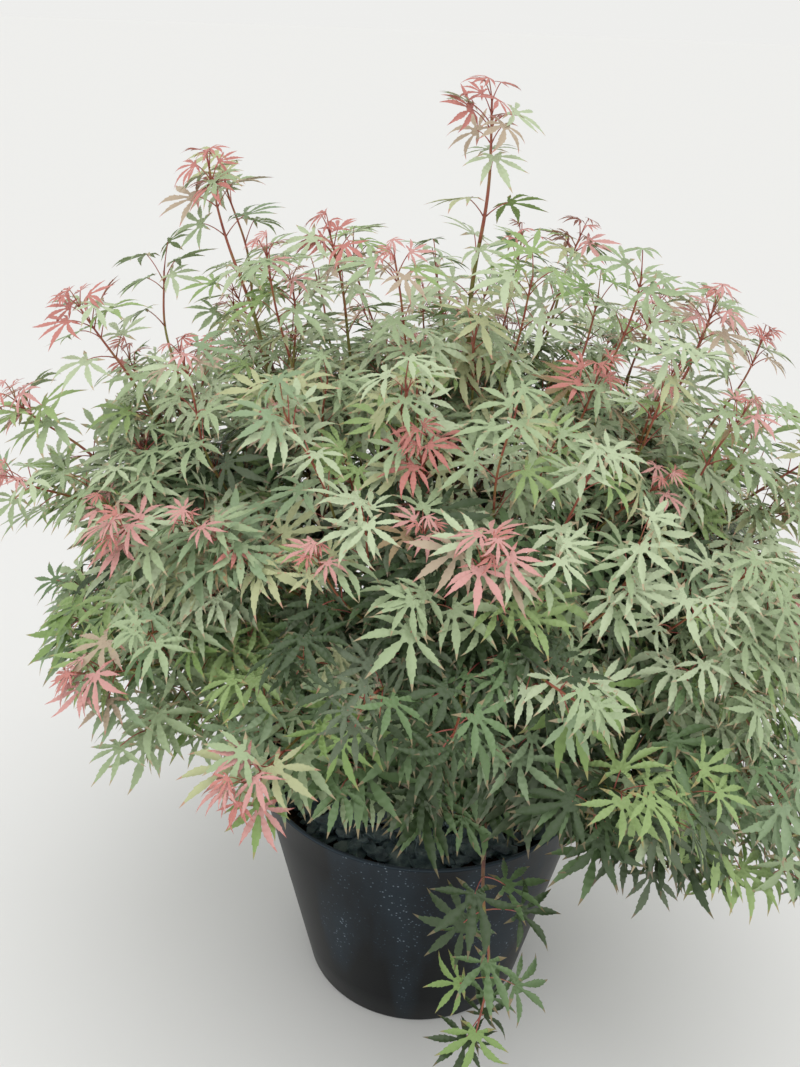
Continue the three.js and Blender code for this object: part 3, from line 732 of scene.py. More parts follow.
        caps = [np.arange(sides)[::-1], (rings - 1) * sides + np.arange(sides)]
        faces = [(first + grid_faces(rings, sides)[None]).reshape(-1, 4)]
        faces += [(first[:, 0] + cap[None]).reshape(-1, sides) for cap in caps]
        chips = add_piece(
            "slate_flakes", Shape(points.reshape(-1, 3), faces), [SLATE.material()],
            ["slate_chippings"])
        chips.data.set_sharp_from_angle(angle=np.radians(30))

    def blocks(self, points: Array, clearance: float) -> Array:
        """Whether points lie in the tub or its filling, under the ground, or too near them.

        Args:
            points: what to test, (..., 3).
            clearance: how near they may come.

        Returns:
            True for each point that is blocked.
        """
        away = np.hypot(points[..., 0], points[..., 1])
        high = points[..., 2]
        in_wall = (high < self.height + clearance) & (away < self.radius(high) + clearance)
        over_mix = (away < self.rim_radius - self.wall - 2 * clearance) & (
            high > self.slate_top + clearance)
        return (in_wall & ~over_mix) | (high < clearance)


# The plant


@dataclass(frozen=True)
class HabitShape:
    """How a shoot grows, by the rule of the CAD source.

    bare is the share of it that is a bare bough. sweep and lift are the shares of the way out and
    of the way up at which its curve bends, and arch is how far the bend stands above that. Twigs
    of about twig_length leave at twig_angle, in degrees, over twig_zone, a share of the stem.
    leaf_size is how large its leaves are beside a usual one, droop is how far they hang, in
    radians, and run_on is how far the stem goes past the place of its tip. vigour is how likely the
    tip is to grow, and how large its young leaves are. An unhindered shoot may hang across the
    front of the rim.
    """

    bare: float
    sweep: float
    lift: float
    arch: float
    twig_angle: float
    twig_length: float
    leaf_size: float
    droop: float
    twig_zone: float
    run_on: float
    vigour: float
    unhindered: bool = False


class Habit(Enum):
    """The ways in which this plant's shoots grow. A fine one springs from another shoot's stem."""

    UPRIGHT = HabitShape(0.36, 0.62, 0.40, 0.000, 36, 0.100, 0.98, 0.08, 0.40, -0.012, 1.0)
    SPREADING = HabitShape(0.34, 0.55, 0.52, 0.020, 44, 0.150, 1.10, 0.10, 0.62, 0.020, 0.90)
    SKIRTING = HabitShape(0.26, 0.50, 0.50, 0.070, 50, 0.150, 1.20, 0.16, 0.72, 0.030, 0.0)
    RUDDY = HabitShape(0.26, 0.50, 0.50, 0.070, 50, 0.150, 1.08, 0.16, 0.55, 0.030, 1.0, True)
    HANGING = HabitShape(0.50, 1.12, 0.00, 0.075, 40, 0.060, 1.00, 0.10, 0.0, -0.020, 0.0, True)
    FINE = HabitShape(0.00, 0.60, 0.42, 0.000, 36, 0.085, 0.94, 0.08, 0.26, -0.010, 0.31)


# The tones of grown leaves, and how often each falls on a spray that is high up, where pale tones
# are painted light, lower down, in the shade, where dark tones are painted shade, and on a hanging
# or a ruddy shoot.
GROWN = (Tone.CREAM, Tone.FRESH, Tone.LIME, Tone.PALE, Tone.SAGE, Tone.GREY, Tone.MOSS, Tone.DEEP,
         Tone.SMOKY)
PAINTED_LIGHT_TONES = np.array([0.07, 0.10, 0.01, 0.44, 0.32, 0.05, 0.01, 0.00, 0.00])
LEAFY = np.array([0.01, 0.11, 0.07, 0.05, 0.27, 0.31, 0.16, 0.01, 0.01])
PAINTED_SHADE_TONES = np.array([0.00, 0.00, 0.01, 0.00, 0.00, 0.01, 0.24, 0.55, 0.19])
OF_HABIT = {
    Habit.HANGING.value: np.array([0.00, 0.00, 0.10, 0.00, 0.00, 0.00, 0.60, 0.30, 0.00]),
    Habit.RUDDY.value: np.array([0.00, 0.22, 0.06, 0.04, 0.33, 0.24, 0.11, 0.00, 0.00]),
}


# The shoots of the CAD source: the habit of each, what it springs from and where along that (a
# share of the trunk or bough), its tip's compass direction in degrees, reach and height, and its
# root's radius.
SHOOT_ROWS = [
    ("leader", Habit.UPRIGHT, "trunk", 0.95, 0, 0.040, 1.265, 0.014),
    ("upper_left", Habit.UPRIGHT, "trunk", 0.80, 177, 0.285, 1.180, 0.011),
    ("upper_right", Habit.UPRIGHT, "trunk", 0.84, 358, 0.322, 1.045, 0.011),
    ("far_left", Habit.SPREADING, "trunk", 0.56, 186, 0.500, 0.890, 0.011),
    ("front", Habit.SPREADING, "trunk", 0.64, 277, 0.330, 0.850, 0.011),
    ("far_right", Habit.SPREADING, "trunk", 0.50, 352, 0.455, 0.880, 0.011),
    ("rear", Habit.SPREADING, "trunk", 0.66, 88, 0.380, 0.900, 0.011),
    ("middle_left", Habit.UPRIGHT, "leader", 0.55, 176, 0.145, 1.110, 0.007),
    ("middle_rear", Habit.UPRIGHT, "leader", 0.80, 48, 0.270, 1.085, 0.007),
    ("middle_right", Habit.UPRIGHT, "leader", 0.40, 330, 0.200, 0.985, 0.007),
    ("middle_front", Habit.UPRIGHT, "leader", 0.25, 262, 0.215, 0.930, 0.007),
    ("left_shoulder", Habit.UPRIGHT, "upper_left", 0.45, 188, 0.430, 1.030, 0.007),
    ("rear_right", Habit.SPREADING, "upper_right", 0.40, 38, 0.430, 0.850, 0.007),
    ("rear_left", Habit.SPREADING, "rear", 0.72, 138, 0.420, 0.860, 0.007),
    ("left_front", Habit.SPREADING, "far_left", 0.80, 211, 0.395, 0.800, 0.0065),
    ("left_front_skirt", Habit.RUDDY, "far_left", 0.42, 214, 0.450, 0.650, 0.0065),
    ("left_skirt", Habit.SKIRTING, "far_left", 0.60, 176, 0.470, 0.600, 0.0065),
    ("front_left_skirt", Habit.RUDDY, "front", 0.50, 243, 0.410, 0.610, 0.0065),
    ("front_skirt", Habit.SKIRTING, "front", 0.70, 268, 0.395, 0.530, 0.0065),
    ("front_tail", Habit.HANGING, "front", 0.86, 281, 0.372, 0.205, 0.006),
    ("front_right_skirt", Habit.SKIRTING, "front", 0.34, 306, 0.415, 0.560, 0.0065),
    ("right_front_skirt", Habit.SKIRTING, "far_right", 0.36, 327, 0.545, 0.450, 0.0065),
    ("right_front", Habit.SPREADING, "far_right", 0.62, 336, 0.455, 0.700, 0.0065),
    ("right_rear_skirt", Habit.SKIRTING, "far_right", 0.80, 16, 0.490, 0.600, 0.0065),
    ("rear_right_skirt", Habit.SKIRTING, "rear", 0.34, 60, 0.455, 0.560, 0.0065),
    ("rear_skirt", Habit.SKIRTING, "rear", 0.54, 104, 0.440, 0.600, 0.0065),
    ("rear_left_skirt", Habit.SKIRTING, "rear", 0.22, 146, 0.460, 0.560, 0.0065),
]

# Fine shoots, which the CAD source leaves out, by what they spring from. In each row are the share
# of that one's whole curve at which it springs, and its tip's compass direction, reach and height.
FINE_ROWS = {
    "left_shoulder": [(0.62, 172, 0.356, 1.05)],
    "upper_left": [
        (0.6, 160, 0.292, 1.15), (0.42, 216, 0.171, 0.968), (0.5, 190, 0.19, 1.06),
        (0.35, 200, 0.22, 1.1)],
    "leader": [
        (0.45, 180, 0.044, 0.978), (0.5, 94, 0.15, 1.05), (0.42, 300, 0.07, 1.02),
        (0.35, 230, 0.1, 1.1), (0.38, 320, 0.12, 1.09)],
    "middle_rear": [(0.45, 30, 0.167, 1.045), (0.4, 10, 0.24, 1)],
    "middle_right": [(0.5, 353, 0.176, 1.055), (0.42, 300, 0.23, 0.93), (0.32, 325, 0.3, 0.88)],
    "upper_right": [
        (0.5, 20, 0.288, 1.02), (0.62, 19, 0.374, 1.01), (0.44, 340, 0.27, 0.96),
        (0.35, 345, 0.22, 1.09), (0.4, 325, 0.3, 1.02)],
    "far_left": [
        (0.65, 197, 0.518, 0.85), (0.3, 214, 0.25, 0.74), (0.52, 180, 0.39, 0.95),
        (0.46, 160, 0.4, 0.8), (0.35, 205, 0.33, 1), (0.38, 220, 0.38, 0.7)],
    "right_front": [(0.55, 330, 0.401, 0.752)],
    "left_front": [(0.55, 222, 0.43, 0.72)],
    "front": [
        (0.25, 246, 0.27, 0.7), (0.32, 262, 0.22, 0.78), (0.3, 255, 0.2, 1),
        (0.35, 285, 0.25, 0.98), (0.4, 300, 0.3, 0.93), (0.38, 232, 0.28, 0.97),
        (0.45, 246, 0.37, 0.74), (0.48, 290, 0.38, 0.72), (0.4, 247, 0.34, 0.84),
        (0.36, 238, 0.3, 0.8), (0.34, 252, 0.3, 0.88), (0.4, 290, 0.33, 0.85),
        (0.44, 226, 0.34, 0.82), (0.42, 302, 0.36, 0.8), (0.60, 258, 0.42, 0.72),
        (0.66, 272, 0.435, 0.70), (0.70, 289, 0.42, 0.73)],
    "far_right": [
        (0.3, 318, 0.27, 0.72), (0.52, 345, 0.38, 0.93), (0.46, 10, 0.4, 0.8),
        (0.38, 335, 0.36, 0.96), (0.42, 0, 0.38, 1), (0.36, 316, 0.4, 0.7), (0.34, 306, 0.35, 0.86),
        (0.38, 314, 0.4, 0.78), (0.44, 322, 0.42, 0.82)],
    "rear": [
        (0.48, 75, 0.25, 1), (0.66, 108, 0.37, 0.93), (0.4, 95, 0.28, 0.98), (0.35, 60, 0.2, 1.08),
        (0.38, 120, 0.25, 1.06)],
    "rear_left": [(0.52, 150, 0.33, 0.98), (0.35, 150, 0.33, 1)],
    "rear_right": [(0.5, 50, 0.4, 0.93), (0.35, 30, 0.33, 1)],
    "middle_front": [
        (0.4, 250, 0.14, 0.96), (0.26, 265, 0.28, 0.86), (0.3, 236, 0.2, 0.89),
        (0.34, 292, 0.19, 0.88), (0.45, 245, 0.08, 1)],
    "middle_left": [(0.4, 220, 0.24, 0.96), (0.5, 140, 0.23, 1.02), (0.3, 196, 0.21, 0.9)],
}


@dataclass
class Curve:
    """A Bezier curve that wanders a little from side to side, as live wood does.

    wander is how far it goes aside, and crests is how many waves it has.
    """

    controls: Array
    wander: float = 0.0
    crests: float = 1.0
    phases: tuple[float, float] = (0.0, 0.0)

    def __post_init__(self) -> None:
        """Works out the directions that it wanders in, and its length."""
        chord = self.controls[-1] - self.controls[0]
        side = np.array([-chord[1], chord[0], 0.0])
        self.side = unit(side) if np.linalg.norm(side) > 1e-3 else np.array([1.0, 0, 0])
        self.rise = np.cross(unit(chord), self.side)
        line = self.points(np.linspace(0, 1, 25))
        self.length = float(np.linalg.norm(np.diff(line, axis=0), axis=1).sum())

    def points(self, along: Array) -> Array:
        """Points of the curve.

        Each is a blend of the control points, pair by pair until one is left, and then goes aside
        by waves that start from nothing at the root.

        Args:
            along: shares of the way, (n,). Past 1 the curve runs on.

        Returns:
            The points, (n, 3).
        """
        along = np.atleast_1d(along)
        share = along[:, None, None]
        level = np.repeat(self.controls[None], len(along), axis=0)
        while level.shape[1] > 1:
            level = level[:, :-1] * (1 - share) + level[:, 1:] * share
        swing = self.wander * np.minimum(1, 3 * along)[:, None]
        turn = 2 * np.pi * self.crests * along[:, None]
        aside = np.sin(turn + self.phases[0]) * self.side
        aside = aside + np.sin(0.8 * turn + self.phases[1]) * self.rise
        return level[:, 0] + swing * aside

    def seat(self, along: float, turn: float) -> tuple[Array, Array, Array]:
        """A place on the curve.

        Args:
            along: share of the way.
            turn: how far round the curve, in radians.

        Returns:
            The point, the tangent, and the way out from the curve at that turn.
        """
        before, point, after = self.points(np.array([along - 0.01, along, along + 0.01]))
        tangent = unit(after - before)
        across = unit(self.side - tangent * (self.side @ tangent))
        over = np.cross(tangent, across)
        return point, tangent, across * np.cos(turn) + over * np.sin(turn)


@dataclass
class Shoot:
    """A bough and the stem that it runs on as."""

    name: str
    habit: HabitShape
    curve: Curve
    radius: float
    tip_radius: float = 0.0011
    taper: float = 0.5

    def radii(self, along: Array) -> Array:
        """The shoot's radius, which falls to its tip's by a power of the share of the way."""
        share = np.minimum(along, 1) ** self.taper
        return self.radius + (self.tip_radius - self.radius) * share


@dataclass
class LeafSeat:
    """Where one leaf springs, and how it is made."""

    root: Array
    way: Array
    stalk: float
    size: float
    droop: float
    opening: float
    tone: Tone


@dataclass(frozen=True)
class LeafForm:
    """The outline of a leaf with seven lobes, cut nearly to the stalk.

    Angles are in degrees from the middle lobe and lengths are shares of it. A point of the edge is
    a share of the way along a lobe and its half width there, as a share of the lobe's length: the
    edge goes out to each tooth and in again. A point of the midrib is a share of the way, and how
    many points of the edge lie before the fold that runs from it to the edge. A leaf rolls about
    its middle lobe by roll, in radians, and its face leans outwards from the plant by facing and
    by turned. Each lobe sinks, curls, bends aside and folds as the ranges say. It curls from
    curl_from on and folds from fold_from on, and a leaf that isn't open sinks by closed_sink more.
    """

    angles: tuple[float, ...] = (-122, -78, -38, 0, 38, 78, 122)
    lengths: tuple[float, ...] = (0.44, 0.78, 0.95, 1.0, 0.95, 0.78, 0.44)
    edge: tuple[tuple[float, float], ...] = (
        (0.22, 0.030), (0.38, 0.074), (0.392, 0.060), (0.51, 0.096), (0.522, 0.080), (0.63, 0.088),
        (0.642, 0.066), (0.75, 0.064), (0.762, 0.044), (0.87, 0.026))
    midrib: tuple[tuple[float, int], ...] = ((0.42, 3), (0.62, 6), (0.86, 10))
    small_edge: tuple[tuple[float, float], ...] = ((0.34, 0.07), (0.55, 0.11))
    small_midrib: tuple[tuple[float, int], ...] = ((0.6, 2),)
    small_below: float = 0.5
    notch: float = 0.17
    roll: float = 0.34
    facing: float = 0.30
    turned: tuple[float, float, float] = (0.03, -0.24, 0.0)
    shoulder: float = 0.06
    shoulder_angle: float = 160.0
    lobe_noise: float = 0.07
    sink: tuple[float, float] = (0.0, 0.17)
    curl: tuple[float, float] = (0.0, 0.7)
    bend: float = 0.16
    fold: tuple[float, float] = (0.15, 0.6)
    heading_noise: float = 0.12
    closed_sink: float = 0.15
    curl_from: float = 0.55
    fold_from: float = 0.2

    def template(self) -> tuple[Array, Array, Array, list[Array], list[int]]:
        """The leaf's points in terms of its lobes, and its faces.

        Returns:
            The lobe of each point, its share of the way along that lobe, its distance aside as a
            share of the lobe's length, the faces, and the material of each list of faces.
        """
        count = len(self.angles)
        rows = [(count // 2, 0.0, 0.0)]
        for gap in range(count + 1):
            lobe = min(gap, count - 1)
            before = self.angles[gap - 1] if gap else -180
            after = self.angles[gap] if gap < count else 180
            reach = self.notch if 0 < gap < count else self.shoulder
            middle = (before + after) / 2
            if gap in (0, count):
                middle = np.sign(before + after) * self.shoulder_angle
            apart = np.radians(middle - self.angles[lobe])
            share = reach / self.lengths[lobe]
            rows.append((lobe, share * np.cos(apart), share * np.sin(apart)))
        faces: dict[tuple[int, int], list[list[int]]] = {}
        for lobe, length in enumerate(self.lengths):
            small = length < self.small_below
            edge = self.small_edge if small else self.edge
            midrib = self.small_midrib if small else self.midrib
            first_rib = len(rows)
            tip = first_rib + len(midrib)
            rows += [(lobe, share, 0.0) for share, _ in midrib] + [(lobe, 1.0, 0.0)]
            for side in (-1, 1):
                first = len(rows)
                rows += [(lobe, share, side * half) for share, half in edge]
                here, seen = [0, 1 + lobe + (side > 0)], 0
                for rib, (_, until) in enumerate(midrib):
                    face = [*here, *range(first + seen, first + until), first_rib + rib]
                    faces.setdefault((len(face), 0), []).append(face[::-side])
                    here, seen = [first_rib + rib, first + until - 1], until
                faces.setdefault((3, 1), []).append([*here, tip][::-side])
        lobes, shares, asides = (np.array(column) for column in zip(*rows))
        sheets = [np.array(part) for part in faces.values()]
        return lobes.astype(int), shares, asides, sheets, [slot for _, slot in faces]

    def leaves(self, seats: list[LeafSeat], rng: np.random.Generator) -> Shape:
        """Leaves in one shape.

        A lobe runs out from the end of the stalk in the leaf's plane at its own angle. Along it
        the blade sinks by the lobe's own sink times the square of the way and curls down past the
        middle, and its halves rise from the midrib like an open book.

        Args:
            seats: the leaves.
            rng: random stream for how each leaf differs.

        Returns:
            The shape, with UVs that give the way aside from the midrib and the way along the lobe.
        """
        lobes, shares, asides, faces, slots = self.template()
        count = len(seats)
        way = np.array([seat.way for seat in seats])
        size = np.array([seat.size for seat in seats])[:, None]
        droop = np.array([seat.droop for seat in seats])[:, None]
        opening = np.array([seat.opening for seat in seats])[:, None]
        base = stalk_ends(seats)
        sway = rng.normal(0, self.heading_noise, (count, 3))
        level = unit(way * (1, 1, 0) + sway * (1, 1, 0))
        forward = level * np.cos(droop) - UP * np.sin(droop)
        side = unit(np.cross(forward, UP))
        normal = np.cross(side, forward)
        roll = rng.normal(0, self.roll, (count, 1))
        outward = unit(base * (1, 1, 0)) * self.facing + self.turned
        normal = unit(normal * np.cos(roll) - side * np.sin(roll) + outward)
        forward = unit(forward - normal * np.sum(forward * normal, -1, keepdims=True))
        side = np.cross(forward, normal)
        each = (count, len(self.angles))
        noise = self.lobe_noise
        angles = np.radians(self.angles)[None] * opening + rng.normal(0, noise, each)
        lengths = size * np.array(self.lengths)[None] * rng.normal(1, noise, each)
        sinks = rng.uniform(*self.sink, each) + self.closed_sink * (1 - opening)
        curls = rng.uniform(*self.curl, each)
        bends = rng.normal(0, self.bend, each)
        folds = rng.uniform(*self.fold, (count, 1))
        length = lengths[:, lobes]
        # A lobe swings to one side as it goes out, by bends times the square of the way
        angle = angles[:, lobes] + bends[:, lobes] * shares ** 2
        out = length * shares
        aside = length * asides * (0.5 + 0.5 * opening)
        x = out * np.cos(angle) - aside * np.sin(angle)
        y = out * np.sin(angle) + aside * np.cos(angle)
        past = np.maximum(0, shares - self.curl_from)
        z = -length * (sinks[:, lobes] * shares ** 2 + curls[:, lobes] * past ** 2)
        z += folds * np.abs(aside) * (shares > self.fold_from)
        parts = ((x, forward), (y, side), (z, normal))
        points = base[:, None] + sum(part[..., None] * axis[:, None] for part, axis in parts)
        first = (np.arange(count) * len(lobes))[:, None, None]
        widest = max(half for _, half in self.edge)
        uv_point = np.stack([np.abs(asides) / widest, shares], -1)
        all_faces = [(first + part[None]).reshape(-1, part.shape[1]) for part in faces]
        uvs = [np.tile(uv_point[part], (count, 1, 1)) for part in faces]
        return Shape(points.reshape(-1, 3), all_faces, slots, uvs)


def stalk_ends(seats: list[LeafSeat]) -> Array:
    """Where the leaves' blades begin: the ends of their stalks, (n, 3)."""
    root = np.array([seat.root for seat in seats])
    way = np.array([seat.way for seat in seats])
    return root + way * np.array([seat.stalk for seat in seats])[:, None]


def leaf_stalks(seats: list[LeafSeat], radius: float = 0.0009, arch: float = 0.16) -> Shape:
    """The stalks of leaves: each arches a little above the straight way from its twig.

    A point is a blend of root, bend and end by a share of the way.

    Args:
        seats: the leaves.
        radius: about the radius of a stalk.
        arch: how far its bend stands above the straight way, as a share of its length.

    Returns:
        The stalks in one shape with no UVs, which they don't need.
    """
    root = np.array([seat.root for seat in seats])
    end = stalk_ends(seats)
    stalk = np.array([seat.stalk for seat in seats])[:, None]
    bend = (root + end) / 2 + UP * arch * stalk
    share = np.linspace(0, 1, 5)[None, :, None]
    centres = (
        root[:, None] * (1 - share) ** 2 + 2 * bend[:, None] * share * (1 - share)
        + end[:, None] * share ** 2)
    radii = radius * np.array([1.25, 0.9, 0.8, 0.8, 0.7])[None] * np.ones((len(seats), 1))
    stalks = tubes(centres, radii, 3)
    return Shape(stalks.points, stalks.faces)


@dataclass
class Crown:
    """The trunk, boughs, stems, twigs and leaves.

    Lengths are in metres, leaf sizes are shares of leaf_length, and places along a twig or stem are
    shares of it. The trunk bends at heights above the potting mix, each with its share of the lean.
    twig_nodes is where a twig's nodes begin and how much of it they take. stem_leaf is the size of
    a stem's first leaves, and how much that falls along it.

    Leaves nearer to the middle than bare_inside, as a share of the crown's spread, are left out.
    airy is where along airy_way the crown begins to thin, and over how far. blush is the height
    above which twigs begin to end in young leaves, over how far, and the largest share that do.
    rim_window is the range of compass directions in which the front of the rim is seen, below a
    plane that rises by sight_slope from window_sill at the rim.

    light is where along light_way the pale tones of painted light set in, and over how far.
    inner_shade, shade_ceiling and dark are where a painted shade of dark tones ends and over how
    far
    it fades: inside, high up, and along dark_right or dark_left in front.
    """

    tub: Tub
    trunk_foot: float = 0.026
    trunk_fork: float = 0.017
    fork_height: float = 0.452
    lean: tuple[float, float] = (-0.009, 0.014)
    trunk_gap: float = 0.0003
    trunk_bends: tuple[tuple[float, float], ...] = ((0.035, 0.0), (0.080, 0.4))
    flare: float = 0.017
    flare_height: float = 0.017
    root_ridges: int = 5
    ridge_depth: float = 0.2
    trunk_relief: float = 0.0011
    bough_relief: float = 0.045
    relief_stretch: float = 5.0
    collar: float = 0.25
    collar_length: float = 1.6
    thick_bough: float = 0.01
    bough_sides: tuple[int, int] = (20, 14)
    ring_spacing: float = 0.05
    ring_width: float = 0.08
    ring_height: float = 0.0005
    bough_step: float = 0.005
    stem_step: float = 0.009
    node_spacing: float = 0.046
    twig_shortening: float = 0.5
    twig_node_spacing: float = 0.038
    twig_leafy: float = 0.8
    twig_nodes: tuple[float, float] = (0.3, 0.62)
    twig_leaf: tuple[float, float] = (0.82, 1.08)
    twig_leaf_spread: float = 1.0
    depth_sizes: tuple[float, float] = (0.92, 0.8)
    twig_radius: float = 0.0024
    twig_thinning: float = 0.6
    twig_fit: float = 0.8
    twig_taper: float = 0.8
    twig_end: float = 0.0008
    twig_rise: float = 0.18
    twig_arch: float = 0.06
    fine_radius: float = 0.0034
    twiglet_length: float = 0.062
    twiglet_angle: float = 42.0
    forked_length: float = 0.085
    twiglet_share: float = 0.6
    leaf_length: float = 0.062
    stem_leaf: tuple[float, float] = (1.05, 0.25)
    stem_leaf_spread: float = 1.05
    stem_leaf_start: float = 0.2
    stem_turn: float = 0.12
    stem_turn_noise: float = 0.2
    twig_angle_noise: float = 14.0
    stalk_length: float = 0.036
    stalk_rise: float = 0.3
    leaf_sizes: tuple[float, float] = (0.82, 1.12)
    stalk_sizes: tuple[float, float] = (0.75, 1.25)
    droops: tuple[float, float] = (-0.3, 0.25)
    turn_noise: float = 0.25
    spread_noise: float = 0.14
    same_tone: float = 0.72
    rose_share: float = 0.6
    pair_step: float = 0.013
    wander: float = 0.004
    wave: float = 0.16
    twig_wander: float = 0.0022
    twig_wave: float = 0.09
    bare_inside: float = 0.44
    thinned: float = 0.6
    thinned_until: float = 0.78
    airy_way: tuple[float, float, float] = (0.5, 0.25, 1.0)
    airy: tuple[float, float] = (0.82, 0.25)
    blush: tuple[float, float, float] = (0.68, 2.2, 0.12)
    blush_height: float = 0.76
    leaf_clearance: float = 0.006
    twig_clearance: float = 0.012
    rim_window: tuple[float, float] = (226, 288)
    window_sill: float = 0.375
    sight_slope: float = 0.94
    stem_margin: float = 0.12
    twig_margin: float = 0.06
    middle: tuple[float, float, float] = (0.0, 0.0, 0.72)
    spread: tuple[float, float, float] = (0.53, 0.48, 0.40)
    # Where the leaf tones paint light and shade: pale tones high up and to the right, dark ones
    # inside and low in front
    inner_shade: tuple[float, float] = (0.74, 0.25)
    shade_ceiling: tuple[float, float] = (0.86, 0.14)
    light_way: tuple[float, float, float] = (0.25, 0.10, 1.0)
    light: tuple[float, float] = (0.53, 0.25)
    dark_right: tuple[float, float, float] = (1.2, -0.45, 1.0)
    dark_left: tuple[float, float, float] = (0.6, -0.45, 1.0)
    dark: tuple[float, float] = (0.79, 0.22)
    stem_ages: tuple[float, float] = (0.34, 0.74)
    stem_sides: int = 8
    twig_sides: int = 5
    seed: int = 4133

    def __post_init__(self) -> None:
        """Sets up the random stream and the empty lists, and lays out the trunk and shoots."""
        self.rng = np.random.default_rng(self.seed)
        self.form = LeafForm()
        self.seats: list[LeafSeat] = []
        self.tubes: dict[str, list[Shape]] = {"red": [], "olive": [], "shoot": []}
        lean, ground = np.array(self.lean), self.tub.mix_top
        bends = [[*(lean * share), ground + rise] for rise, share in self.trunk_bends]
        self.trunk = Curve(np.array(
            [[0, 0, ground + self.trunk_gap], *bends, [*lean, self.fork_height]]))
        self.shoots: dict[str, Shoot] = {}
        for row in SHOOT_ROWS:
            self.lay_out(*row)
        self.boughs = list(self.shoots.values())
        for parent, rows in FINE_ROWS.items():
            for index, row in enumerate(rows):
                self.lay_out(f"{parent}_{index}", Habit.FINE, parent, *row, self.fine_radius)

    def lay_out(
        self, name: str, habit: Habit, parent: str, at: float, compass: float, reach: float,
        height: float, radius: float,
    ) -> None:
        """Gives a shoot its curve, by the rule of the CAD source.

        Args:
            name: name of the shoot.
            habit: how it grows.
            parent: name of what it springs from.
            at: where along that, as a share of the trunk or of the other shoot's bough, or of its
                whole curve for a fine shoot.
            compass: direction of its tip, in degrees.
            reach: how far the tip is from the axis.
            height: height of the tip.
            radius: radius at the root.
        """
        shape = habit.value
        if parent == "trunk":
            root = self.trunk.points(at)[0]
        elif habit is Habit.FINE:
            root = self.shoots[parent].curve.points(at)[0]
        else:
            root = self.shoots[parent].curve.points(at * self.shoots[parent].habit.bare)[0]
        turn = np.radians(compass)
        tip = np.array([reach * np.cos(turn), reach * np.sin(turn), height])
        bend = root + (tip - root) * (shape.sweep, shape.sweep, shape.lift) + UP * shape.arch
        length = np.linalg.norm(tip - root)
        curve = self.limb([root, bend, tip], self.wander, length / self.wave)
        self.shoots[name] = Shoot(name, shape, curve, radius)

    def limb(self, controls: list[Array], wander: float, crests: float) -> Curve:
        """A curve by its control points whose waves start from random turns."""
        return Curve(
            np.array(controls), wander, crests, tuple(self.rng.uniform(0, 2 * np.pi, 2)))

    def build_trunk(self) -> None:
        """Makes the trunk: a taper whose root ridges flare out at its foot, under bark relief."""
        sides, rings = 72, 60
        along = np.linspace(0, 1, rings)
        centres = self.trunk.points(along)
        turn = turns_of(sides)
        flare = np.exp(-(centres[:, 2] - self.tub.mix_top) / self.flare_height)[:, None]
        taper = (self.trunk_foot + (self.trunk_fork - self.trunk_foot) * along)[:, None]
        radii = taper * (1 + self.ridge_depth * flare * np.cos(self.root_ridges * turn))
        radii = radii + self.flare * flare
        radii = radii + self.trunk_relief * self.bark_relief(centres, turn, self.trunk_foot, 5)
        shape = tubes(centres[None], radii[None], sides)
        add_piece("trunk_bark", shape, [OLD_BARK.material()], ["trunk"])

    def bark_relief(self, centres: Array, turn: Array, radius: float, seed: int) -> Array:
        """Relief of bark from -1 to 1: lumps that are drawn out along the limb.

        Args:
            centres: middles of the rings, (rings, 3).
            turn: turns of a ring's points.
            radius: about the limb's radius.
            seed: what the random stream starts from.

        Returns:
            One number for each point of each ring, (rings, sides).
        """
        steps = np.linalg.norm(np.diff(centres, axis=0), axis=1)
        along = np.concatenate([[0], np.cumsum(steps)])
        around = radius * circle(turn)
        place = np.concatenate([
            np.broadcast_to(around[None], (len(along), len(turn), 2)),
            np.broadcast_to(
                along[:, None, None] / self.relief_stretch, (len(along), len(turn), 1))], -1)
        coarse, fine = ripple(place, radius * 0.7, seed), ripple(place, radius * 0.25, seed + 1)
        return 0.6 * coarse + 0.4 * fine

    def build_boughs(self) -> None:
        """Makes the boughs, each swollen where it leaves its parent and ringed at its nodes."""
        shapes = []
        for index, shoot in enumerate(self.boughs):
            length = shoot.curve.length * shoot.habit.bare
            rings = int(length / self.bough_step) + 2
            sides = self.bough_sides[0 if shoot.radius > self.thick_bough else 1]
            along = np.linspace(0, shoot.habit.bare, rings)
            centres = shoot.curve.points(along)
            swelling = self.collar_length * shoot.radius
            collar = 1 + self.collar * np.exp(-along * shoot.curve.length / swelling)
            nodes = along * shoot.curve.length / self.ring_spacing % 1
            ring = self.ring_height * np.exp(-((nodes - 0.5) / self.ring_width) ** 2)
            relief = self.bark_relief(centres, turns_of(sides), shoot.radius, 100 + index)
            radii = (shoot.radii(along) * collar + ring)[:, None]
            radii = radii + self.bough_relief * shoot.radius * relief
            shapes.append(tubes(centres[None], radii[None], sides))
        nodes = [f"bough_{shoot.name}" for shoot in self.boughs]
        add_piece("bough_bark", join(shapes), [BOUGH_BARK.material()], nodes)

